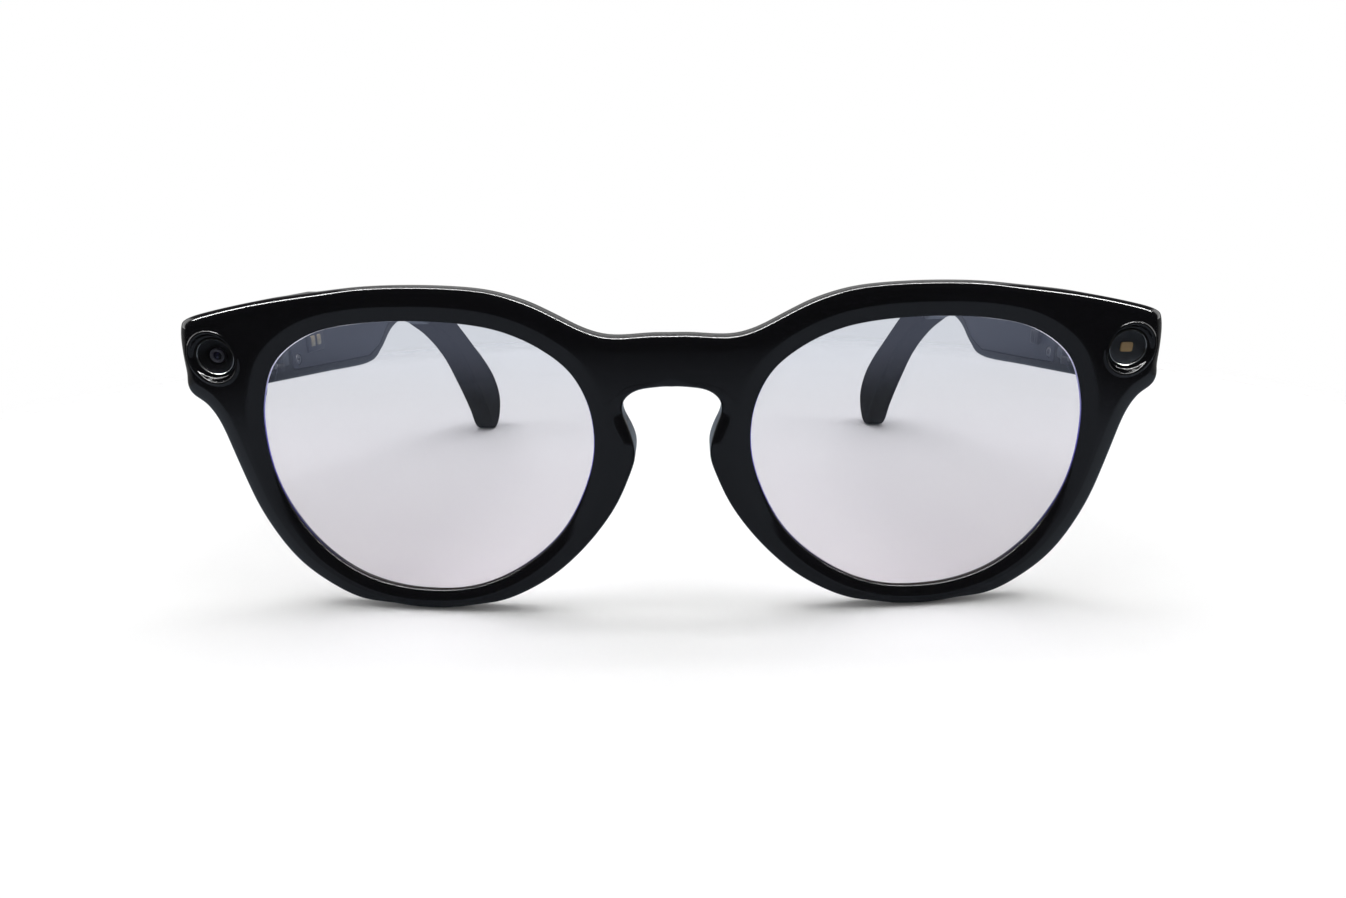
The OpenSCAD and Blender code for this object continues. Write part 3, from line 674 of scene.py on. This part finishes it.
def make_painted_edge_light():
    """Painted light on the facet: pale at the top as a painted highlight where the light above
    would fall, violet lower down as a painted coating reflection, black at the bottom as
    painted shade, and a faint painted glow through its emission.
    """
    # the facet glows faintly though it is no lamp: painted light
    paint = principled("painted_edge_light", (0.1, 0.1, 0.12), 0.45, Emission_Strength=0.3)
    tree = paint.node_tree
    shader = tree.nodes["Principled BSDF"]
    place = node(tree, "TexCoord")
    split = node(tree, "SeparateXYZ")
    height = node(tree, "MapRange")
    put(height, From_Max=0.05)
    shade = node(tree, "ValToRGB")
    ramp = shade.color_ramp.elements
    # painted light by height: a painted highlight at the top, a painted violet reflection lower down, painted
    # shade at the bottom
    ramp[0].position, ramp[0].color = 0.12, (0.02, 0.012, 0.01, 1)
    ramp[1].position, ramp[1].color = 0.88, (0.8, 0.8, 0.9, 1)
    for position, colour in ((0.3, (0.03, 0.03, 0.16, 1)), (0.55, (0.12, 0.11, 0.5, 1)),
                             (0.72, (0.3, 0.3, 0.6, 1))):
        ramp.new(position).color = colour
    grain = node(tree, "TexNoise")
    put(grain, Scale=900)
    join(tree, (place.outputs["Object"], split.inputs["Vector"]),
         (split.outputs["Z"], height.inputs["Value"]),
         (height.outputs["Result"], shade.inputs["Fac"]),
         (shade.outputs["Color"], shader.inputs["Base Color"]),
         (shade.outputs["Color"], shader.inputs["Emission Color"]),
         (place.outputs["Object"], grain.inputs["Vector"]),
         (grain.outputs["Fac"], shader.inputs["Roughness"]))
    return paint


painted_edge_light = make_painted_edge_light()


def make_lens_edge(side, name):
    """The narrow ground facet that shows where a lens enters its groove."""
    edge = curve(lens_outline, 8, True)
    out = sideways(edge, True)
    levels = [(-0.05, 1.44), (0.05, 1.36), (0.2, 1.36), (0.2, 1.44)]
    bm = bmesh.new()
    add_loft(bm, [[on_front(*(p + n * a * mm), s * mm) for p, n in zip(edge, out)] for a, s in levels],
             round_trip=True)
    bmesh.ops.scale(bm, vec=(side, 1, 1), verts=bm.verts)
    return finish_piece(name, bm, "front", painted_edge_light, smooth=30)


for side, name in ((-1, "lens_right"), (1, "lens_left")):
    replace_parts(make_lens(side, "glass_" + name), name)
    make_lens_edge(side, "painted_edge_light_" + name)

# ---- Camera and indicator light -------------------------------------------------------
# A polished dish in each end piece leads to a round window in a thin turned ring. Behind
# the right window sits the camera's barrel, behind the left one a small square emitter.
def make_dish(side, name):
    levels = []
    window = 7.3 * mm
    for radius, blend, sink in ((4.5, 0, 0), (4.28, 0, 0), (4.22, 0, -0.06), (4.17, 0, -0.13),
                                (4.07, 0, -0.19), (3.9, 0, -0.2), (3.74, 0, -0.1),
                                (3.62, 0.16, 0), (3.5, 0.5, 0.05), (3.3, 0.82, 0.06),
                                (3.05, 1, 0.02), (2.94, 1, 0), (2.88, 1, 0.08), (2.88, 1, 0.3),
                                (2.88, 1, 1.2), (4.5, 1, 1.9)):
        radius, sink = radius * mm, sink * mm
        ring = []
        for i in range(96):
            a = 2 * math.pi * i / 96
            x, v = pod.x + radius * math.cos(a), pod.y + radius * math.sin(a)
            surface = wrap - math.sqrt(wrap * wrap - x * x)
            ring.append(along_front(x, v, surface + (window - surface) * blend + sink))
        levels.append(ring)
    bm = bmesh.new()
    add_loft(bm, levels, round_trip=True)
    bmesh.ops.scale(bm, vec=(side, 1, 1), verts=bm.verts)
    return finish_piece(name, bm, "front", gloss_black, smooth=50)


make_dish(-1, "camera_dish")
make_dish(1, "light_dish")


def turned(name, side, levels, paint, caps=True):
    """A piece turned about the axis of a window: (radius, distance back) pairs."""
    bm = bmesh.new()
    edges = add_loft(bm, [pod_circle(r * mm, s * mm, 64) for r, s in levels], round_trip=not caps)
    if caps:
        bmesh.ops.holes_fill(bm, edges=bm.edges[:], sides=0)
    bmesh.ops.scale(bm, vec=(side, 1, 1), verts=bm.verts)
    return finish_piece(name, bm, "front", paint, smooth=35)


steel = grained("turned_steel", (0.58, 0.58, 0.57), 0.16, 1.0, scale=2500, tint=0.2, spread=0.15)


window_glass = let_light_in(principled("dark_window", (0.75, 0.76, 0.8), 0.02, Transmission_Weight=1.0,
                                       IOR=1.45), (0.8, 0.8, 0.85))
light_glass = let_light_in(principled("smoked_window", (0.7, 0.72, 0.76), 0.05, Transmission_Weight=1.0,
                                      IOR=1.45), (0.75, 0.76, 0.8))
barrel_black = grained("anodised_barrel", (0.004, 0.004, 0.005), 0.5, scale=1500, spread=0.1,
                       Specular_IOR_Level=0.2)
eye_ring = grained("blasted_ring", (0.16, 0.16, 0.18), 0.4, 0.5, scale=2000, spread=0.1)
eye_glass = principled("coated_eye", (0.01, 0.01, 0.03), 0.03, Coat_Weight=1.0, Coat_Roughness=0.02)
bezel_levels = [(2.64, 7.3), (2.66, 7.17), (2.72, 7.11), (2.79, 7.12), (2.85, 7.17), (2.86, 7.3),
                (2.86, 8.05), (2.66, 8.04)]
for side, word in ((-1, "camera"), (1, "led")):
    ring = turned(word + "_ring", side, bezel_levels, steel, caps=False)
    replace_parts(ring, word + "_bezel")
pane_levels = [(1.2, 7.2), (2.2, 7.22), (2.5, 7.26), (2.61, 7.32), (2.63, 7.42), (2.63, 7.6),
               (2.5, 7.62), (1.2, 7.62)]
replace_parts(turned("camera_pane", -1, pane_levels, window_glass), "camera_window")
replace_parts(turned("light_pane", 1, pane_levels, light_glass), "led_window")
hood = turned("camera_hood", -1, [(2.86, 7.7), (1.5, 7.85), (1.42, 7.95), (1.36, 8.2), (1.2, 8.3), (1.1, 8.4),
                                  (0.9, 8.9), (2.86, 8.9)], barrel_black, caps=False)
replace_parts(hood, "camera_module")
turned("camera_eye_ring", -1, [(1.1, 7.98), (1.05, 7.86), (0.95, 7.82), (0.78, 7.86), (0.66, 8.0),
                               (0.62, 8.4), (1.1, 8.4)], eye_ring, caps=False)
turned("camera_eye", -1, [(0.1, 7.95), (0.35, 7.98), (0.55, 8.06), (0.64, 8.16), (0.64, 8.3), (0.1, 8.3)],
       eye_glass)

window_grey = grained("light_chamber", (0.035, 0.038, 0.042), 0.5, scale=1500, spread=0.1)
emitter_gold = grained("emitter_phosphor", (0.55, 0.36, 0.16), 0.4, scale=1800, tint=0.3, spread=0.1)
bm = bmesh.new()
face = add_box(bm, (-0.9 * mm, -0.725 * mm, -0.15 * mm), (0.9 * mm, 0.725 * mm, 0.15 * mm))
upright = [e for e in bm.edges if abs(e.verts[0].co.z - e.verts[1].co.z) > 0.2 * mm]
bmesh.ops.bevel(bm, geom=upright, offset=0.3 * mm, affect="EDGES", segments=4, profile=0.5, material=-1)
for v in bm.verts:
    v.co = along_front(pod.x + v.co.x, pod.y + v.co.y, 7.95 * mm - v.co.z)
finish_piece("light_emitter", bm, "front", emitter_gold)
turned("light_floor", 1, [(2.86, 7.95), (0.4, 8.02), (0.4, 8.3), (2.86, 8.3)], window_grey,
       caps=False)

# ---- Temples --------------------------------------------------------------------------
# Two hollow black arms that hold the electronics: deep behind the hinge, then slimmer. Each
# is one moulding, closed on the head side by a flush cover that two small screws hold.
splay = math.radians(4.9)
temple_x = 68.0 * mm
temple_y = bridge_y + 14.9 * mm
temple_top = [(0, 47.2), (30, 47.2), (55, 46.9), (64, 46.2), (74, 44), (84, 39.6)]
temple_bottom = [(0, 36.2), (20, 34.6), (38.5, 33.2), (44.5, 34.8), (50.5, 38.2), (57, 39.6),
                 (64, 39), (74, 36.6), (84, 32.2)]
cover_outline = [(8, 46.9), (30, 46.7), (54, 46.2), (57, 44.8), (57, 42), (53, 41.3),
                 (48, 39.6), (43.5, 36.3), (38, 34.8), (20, 36.1), (8, 37.1)]
cover_back = -2.3 * mm


def in_temple(side, u, w, z):
    """A point of a temple: u outwards from its middle, w along it, z up."""
    x = temple_x + u * math.cos(splay) - w * math.sin(splay)
    return Vector((side * x, temple_y + u * math.sin(splay) + w * math.cos(splay), z))


def place_in_temple(side, verts):
    for v in verts:
        v.co = in_temple(side, *v.co)


def outside(w):
    return 3.4 * mm - 0.7 / 126.4 * w


def inside(w):
    return -outside(w)


def rounded(corners, radius):
    """The closed polygon with each of its corners rounded."""
    points = [Vector(c) * mm for c in corners]
    line = []
    for i, p in enumerate(points):
        before, after = points[i - 1] - p, points[(i + 1) % len(points)] - p
        reach = min(radius, 0.45 * before.length, 0.45 * after.length)
        a, b = p + before.normalized() * reach, p + after.normalized() * reach
        for k in range(7):
            t = k / 6
            line.append(a * (1 - t) ** 2 + p * 2 * t * (1 - t) + b * t * t)
    return line


def grow(line, amount):
    return [p + n * amount for p, n in zip(line, sideways(line, True))]


def add_slab(bm, side, line, near, far, rounding=0.0, steps=5, rims=("near", "far")):
    """A flat shape seen from the side of a temple, between two faces, with rounded rims."""
    rings = [[in_temple(side, face(p.x) if callable(face) else face, p.x, p.y) for p in line]
             for face in (near, far)]
    edges = add_loft(bm, rings)
    caps = [bmesh.ops.holes_fill(bm, edges=ring, sides=0)["faces"] for ring in edges]
    if rounding:
        soft = [e for ring, name in zip(edges, ("near", "far")) if name in rims for e in ring]
        bmesh.ops.bevel(bm, geom=soft, offset=rounding, affect="EDGES", segments=steps,
                        profile=0.5, material=-1, clamp_overlap=True)
    return caps


def add_temple_box(bm, side, lo, hi, rounding=0.0, steps=3):
    """A block in the temple's own directions; corners in millimetres."""
    verts = add_box(bm, Vector(lo) * mm, Vector(hi) * mm)
    if rounding:
        edges = list({e for v in verts for e in v.link_edges})
        made = bmesh.ops.bevel(bm, geom=edges, offset=rounding * mm, affect="EDGES",
                               segments=steps, profile=0.5, material=-1)
        verts = list({v for f in made["faces"] for v in f.verts} | {v for v in verts if v.is_valid})
    place_in_temple(side, verts)


def even_normals(piece):
    level = piece.modifiers.new("normals", "WEIGHTED_NORMAL")
    level.keep_sharp = True
    level.weight = 80


def cut_line(top, bottom, w0, w1):
    """The part of an outline between w0 and w1, clockwise: along the top and back below."""
    def at(line, w):
        for a, b in zip(line, line[1:]):
            if a.x <= w <= b.x:
                return a.lerp(b, (w - a.x) / (b.x - a.x))
    upper = [at(top, w0)] + [p for p in top if w0 + 0.1 * mm < p.x < w1 - 0.1 * mm] + [at(top, w1)]
    lower = [at(bottom, w0)] + [p for p in bottom if w0 + 0.1 * mm < p.x < w1 - 0.1 * mm] + [at(bottom, w1)]
    return upper + lower[::-1]


arm_black = grained("arm_black", (0.005, 0.0055, 0.007), 0.16, scale=300, spread=0.08, bump=0.03)
cover_black = grained("cover_black", (0.024, 0.028, 0.044), 0.3, scale=700, spread=0.08, bump=0.08)


port_radius = 0.4 * mm


def make_shell(side, name):
    top, bottom = curve(temple_top, 6, False), curve(temple_bottom, 6, False)
    bm = bmesh.new()
    line = cut_line(top, bottom, 0.35 * mm, 73.95 * mm)
    add_slab(bm, side, line, inside, outside, rounding=1.2 * mm)
    shell = finish_piece("arm_" + name, bm, "temple_" + name, arm_black)
    bm = bmesh.new()
    add_slab(bm, side, grow(rounded(cover_outline, 1.0 * mm), 0.05 * mm), -6 * mm, 2.1 * mm)
    # sound outlet below, its vent above, the two microphone ports, the hinge passage
    add_temple_box(bm, side, (-1.3, 36, 30), (1.3, 42, 36))
    add_temple_box(bm, side, (-0.6, 37.5, 46), (0.6, 40.5, 50), rounding=0.25)
    for w, z in ((14.6, 34), (31, 48.5)):
        add_cylinder(bm, in_temple(side, 0, w * mm, z * mm), port_radius, 5 * mm, 24)
    add_temple_box(bm, side, (-0.6, -1, 40), (0.6, 8.5, 44.2))
    if side < 0:
        add_temple_box(bm, side, (-1.45, 13.85, 46), (1.45, 24.15, 50))
    centre = Vector((side * 63.6 * mm, bridge_y + 15.2 * mm, 41.65 * mm))
    add_cylinder(bm, centre, barrel_room, 7.3 * mm, 48)
    x0, x1 = sorted((side * 63.4 * mm, side * 65.15 * mm))
    add_box(bm, (x0, bridge_y + 15.2 * mm, 38.1 * mm), (x1, bridge_y + 21.5 * mm, 45.2 * mm))
    bmesh.ops.recalc_face_normals(bm, faces=bm.faces)
    cut(shell, bm, smooth=35)
    even_normals(shell)
    return shell


screw_places = [(10.2, 38.6), (54.3, 43.8)]
screw_seat = 0.95 * mm
quarter = Matrix.Rotation(math.radians(90), 4, "Y")


def make_cover(side, name):
    bm = bmesh.new()
    line = grow(rounded(cover_outline, 1.0 * mm), -0.08 * mm)
    add_slab(bm, side, line, inside, cover_back, rounding=0.15 * mm, steps=3, rims=("near",))
    cover = finish_piece("inner_cover_" + name, bm, "temple_" + name, cover_black)
    bm = bmesh.new()
    for w, z in screw_places:
        add_cylinder(bm, Vector((-4.3, w, z)) * mm, screw_seat, 3 * mm, 32, quarter)
    if side < 0:
        add_cylinder(bm, Vector((-4, 9.3, 45)) * mm, port_radius, 5 * mm, 24, quarter)
    else:
        add_box(bm, (-6 * mm, 13.2 * mm, 40.0 * mm), (-1 * mm, 17.2 * mm, 41.2 * mm))
    place_in_temple(side, bm.verts)
    bmesh.ops.recalc_face_normals(bm, faces=bm.faces)
    cut(cover, bm, smooth=35)
    even_normals(cover)
    return cover


for side, name in ((-1, "right"), (1, "left")):
    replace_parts(make_shell(side, name), "temple_shell_" + name)
    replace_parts(make_cover(side, name), "temple_cover_" + name)

# ---- Ear tips -------------------------------------------------------------------------
# Each arm ends in a softer moulded tip of a duller, browner black that hooks down behind
# the ear and rests on the table. A flat steel strip stiffens it from inside.
tip_top = [(69, 45.4), (74, 44), (84, 39.6), (95, 33.2), (104, 27.6), (113, 22), (121, 16), (125.6, 10),
           (126, 5.5), (123.5, 1.4), (119.8, 0), (116.5, 1.8), (112.5, 7.3), (104, 16.6),
           (95, 25.2), (84, 32.2), (74, 36.6), (69, 38.2)]
tip_brown = grained("ear_tip_rubber", (0.009, 0.0075, 0.0075), 0.62, scale=1400, spread=0.1,
                    bump=0.25, depth=0.00003, tint=0.5, Specular_IOR_Level=0.1, IOR=1.2)


def make_tip(side, name):
    line = [p for p in curve(tip_top, 5, False) if p.x > 74.0 * mm + 0.1 * mm]
    start = 74.05 * mm
    whole = curve(tip_top, 5, False)
    ends = [a.lerp(b, (start - a.x) / (b.x - a.x)) for a, b in zip(whole, whole[1:])
            if (a.x - start) * (b.x - start) <= 0]
    line = [ends[0]] + line + [ends[-1]]
    bm = bmesh.new()
    add_slab(bm, side, line, inside, outside, rounding=0.9 * mm)
    tip = finish_piece("ear_tip_piece_" + name, bm, "temple_" + name, tip_brown)
    even_normals(tip)
    return tip


for side, name in ((-1, "right"), (1, "left")):
    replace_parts(make_tip(side, name), "ear_tip_" + name)

# ---- Hinges ---------------------------------------------------------------------------
# Five steel knuckles on a slotted screw: three on the leaf riveted into the end piece, two
# on the leaf let into the temple.
hinge_steel = grained("hinge_steel", (0.16, 0.16, 0.17), 0.28, 1.0, scale=2200, tint=0.3, spread=0.15,
                      bump=0.08)
screw_steel = grained("screw_steel", (0.30, 0.30, 0.32), 0.3, 1.0, scale=2600, tint=0.3, spread=0.15)
axle_x, axle_y = 63.6 * mm, bridge_y + 15.2 * mm


def knuckle_z(i):
    return (38.2 + 1.4 * i) * mm


def add_rod(bm, place, radius, length, rounding, turn=Matrix(), segments=48):
    verts = add_cylinder(bm, place, radius, length, segments, turn)
    rims = list({e for v in verts for e in v.link_edges if any(len(f.verts) > 4 for f in e.link_faces)})
    bmesh.ops.bevel(bm, geom=rims, offset=rounding, affect="EDGES", segments=3, profile=0.5, material=-1)


def add_soft_box(bm, lo, hi, rounding):
    verts = add_box(bm, lo, hi)
    edges = list({e for v in verts for e in v.link_edges})
    bmesh.ops.bevel(bm, geom=edges, offset=rounding, affect="EDGES", segments=3, profile=0.5, material=-1)


def make_leaf(side, name, body, plate, knuckles):
    bm = bmesh.new()
    x0, x1, y0, y1 = plate
    add_soft_box(bm, (x0, y0, knuckle_z(0)), (x1, y1, knuckle_z(4) + 1.3 * mm), 0.12 * mm)
    near = y1 - 0.3 * mm if y1 < axle_y else y0 + 0.3 * mm
    for i in knuckles:
        add_rod(bm, Vector((axle_x, axle_y, knuckle_z(i) + 0.65 * mm)), 1.5 * mm, 1.3 * mm, 0.12 * mm)
        add_soft_box(bm, (x0, min(near, axle_y), knuckle_z(i) + 0.02 * mm),
                     (x1, max(near, axle_y), knuckle_z(i) + 1.28 * mm), 0.08 * mm)
    bmesh.ops.scale(bm, vec=(side, 1, 1), verts=bm.verts)
    return finish_piece(name, bm, body, hinge_steel, smooth=35)


for side, name in ((-1, "right"), (1, "left")):
    leaf = make_leaf(side, "end_leaf_" + name, "front", (axle_x - 0.6 * mm, axle_x + 0.6 * mm,
                     bridge_y + 11 * mm, bridge_y + 13.4 * mm), (0, 2, 4))
    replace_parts(leaf, "front_leaf_" + name)
    leaf = make_leaf(side, "arm_leaf_" + name, "temple_" + name, (axle_x + 0.3 * mm, axle_x + 1.5 * mm,
                     bridge_y + 17 * mm, bridge_y + 21.4 * mm), (1, 3))
    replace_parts(leaf, "temple_leaf_" + name)
    bm = bmesh.new()
    add_rod(bm, Vector((side * axle_x, axle_y, 41.65 * mm)), 0.7 * mm, 7.1 * mm, 0.1 * mm, segments=32)
    pin = finish_piece("hinge_pin_" + name, bm, "front", screw_steel)
    bm = bmesh.new()
    slit = Vector((0.12, 1, 0)) * mm
    add_box(bm, Vector((side * axle_x, axle_y, 44.95 * mm)) - slit,
            Vector((side * axle_x, axle_y, 46 * mm)) + slit)
    cut(pin, bm)
    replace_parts(pin, "hinge_screw_" + name)


def dress(paint, *names):
    """Gives parts kept from the CAD model a finish."""
    for name in names:
        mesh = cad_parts[name].data
        mesh.materials.clear()
        mesh.materials.append(paint)


dress(screw_steel, "leaf_rivets")

# ---- End covers -----------------------------------------------------------------------
# A small matte plate closes the pocket behind each window; it shows when a temple folds.
for side, name in ((-1, "right"), (1, "left")):
    lo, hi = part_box("end_cover_" + name)
    bm = bmesh.new()
    add_soft_box(bm, lo, hi, 0.22 * mm)
    plate = finish_piece("pocket_plate_" + name, bm, "front", cover_black)
    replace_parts(plate, "end_cover_" + name)

# ---- Screws, contacts and controls ------------------------------------------------------
# What shows on the arms: hexagon screws, two gilt charging contacts on a small island, a
# status lamp, a metal capture button in the top edge and a sliding power switch.
contact_gold = grained("gilt_contact", (0.84, 0.72, 0.5), 0.25, 1.0, scale=1800, tint=0.2, spread=0.1)
button_metal = grained("anodised_button", (0.09, 0.09, 0.10), 0.32, 0.9, scale=1500, tint=0.3, spread=0.12,
                       bump=0.08)
lamp_white = principled("lamp_diffuser", (0.75, 0.8, 0.76), 0.35, Transmission_Weight=0.4)
hexagon = 0.42 * mm
for side, name in ((-1, "right"), (1, "left")):
    bm = bmesh.new()
    for w, z in screw_places:
        add_rod(bm, Vector((-3.12 * mm, w * mm, z * mm)), 0.85 * mm, 0.45 * mm, 0.12 * mm, quarter, 32)
        add_rod(bm, Vector((-1.1 * mm, w * mm, z * mm)), 0.43 * mm, 3.6 * mm, 0.08 * mm, quarter, 24)
    place_in_temple(side, bm.verts)
    screws = finish_piece("cover_fixings_" + name, bm, "temple_" + name, screw_steel)
    bm = bmesh.new()
    for w, z in screw_places:
        add_cylinder(bm, Vector((-3.6, w, z)) * mm, hexagon, 1 * mm, 6, quarter)
    place_in_temple(side, bm.verts)
    bmesh.ops.recalc_face_normals(bm, faces=bm.faces)
    cut(screws, bm)
    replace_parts(screws, "cover_screws_" + name)

bm = bmesh.new()
add_temple_box(bm, -1, (-3.6, 13.4, 39.1), (-2.4, 19.3, 42.9), rounding=0.2)
finish_piece("contact_island", bm, "temple_right", cover_black)
bm = bmesh.new()
for w in (14.6, 16.7):
    add_temple_box(bm, -1, (-3.68, w, 40.05), (-2.1, w + 1.4, 41.95), rounding=0.16)
pads = finish_piece("gilt_pads", bm, "temple_right", contact_gold)
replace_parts(pads, "charge_contacts")
bm = bmesh.new()
add_rod(bm, Vector((-2.7 * mm, 9.3 * mm, 45 * mm)), 0.38 * mm, 1.1 * mm, 0.1 * mm, quarter, 24)
place_in_temple(-1, bm.verts)
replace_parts(finish_piece("status_lamp", bm, "temple_right", lamp_white), "status_led")

bm = bmesh.new()
add_temple_box(bm, -1, (-1.3, 14, 47.2), (1.3, 24, 48.7), rounding=0.35, steps=4)
add_temple_box(bm, -1, (-0.6, 18.2, 46.6), (0.6, 19.8, 47.3), rounding=0.08)
button = finish_piece("capture_key", bm, "capture_button", button_metal)
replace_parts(button, "capture_button")
bm = bmesh.new()
add_temple_box(bm, 1, (-4.2, 12.8, 39.4), (-3.7, 15.6, 41.8), rounding=0.15)
for w in (13.5, 14.2, 14.9):
    add_temple_box(bm, 1, (-4.28, w - 0.12, 39.75), (-4.0, w + 0.12, 41.45), rounding=0.05)
add_temple_box(bm, 1, (-3.8, 13.6, 40.2), (-2.0, 14.8, 41.0), rounding=0.05)
knob = finish_piece("power_knob", bm, "power_slider", button_metal)
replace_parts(knob, "power_slider")

# ---- Inside the temples and the front ---------------------------------------------------
# Circuit boards, flexible circuits, cells, speakers and the rest keep their CAD shapes:
# they sit inside closed mouldings.
board_green = grained("solder_mask", (0.02, 0.10, 0.05), 0.35, scale=900, tint=0.4, bump=0.1)
flex_amber = grained("flex_film", (0.45, 0.20, 0.06), 0.3, scale=700, tint=0.3)
cell_foil = grained("cell_foil", (0.6, 0.6, 0.62), 0.35, 0.9, scale=500, tint=0.2, bump=0.2)
can_tin = grained("tinned_can", (0.66, 0.66, 0.64), 0.3, 1.0, scale=900, tint=0.2)
speaker_black = grained("speaker_case", (0.015, 0.015, 0.016), 0.5, scale=1100, bump=0.2)
mesh_steel = grained("punched_steel", (0.16, 0.16, 0.17), 0.35, 1.0, scale=1800, tint=0.2)
magnet_nickel = grained("nickel_plate", (0.6, 0.58, 0.55), 0.2, 1.0, scale=1200, tint=0.15)
dress(board_green, "camera_board", "led_board", "main_board", "audio_board")
dress(flex_amber, "front_flex", "temple_flex_right", "temple_flex_left", "touch_sensor")
dress(cell_foil, "battery_right", "battery_left")
dress(can_tin, "processor_can", "bridge_mic", "mics_right", "mics_left", "capture_switch", "power_switch")
dress(speaker_black, "speaker_right", "speaker_left")
dress(mesh_steel, "speaker_grille_right", "speaker_grille_left")
dress(magnet_nickel, "charge_magnets")
dress(hinge_steel, "core_wire_right", "core_wire_left")
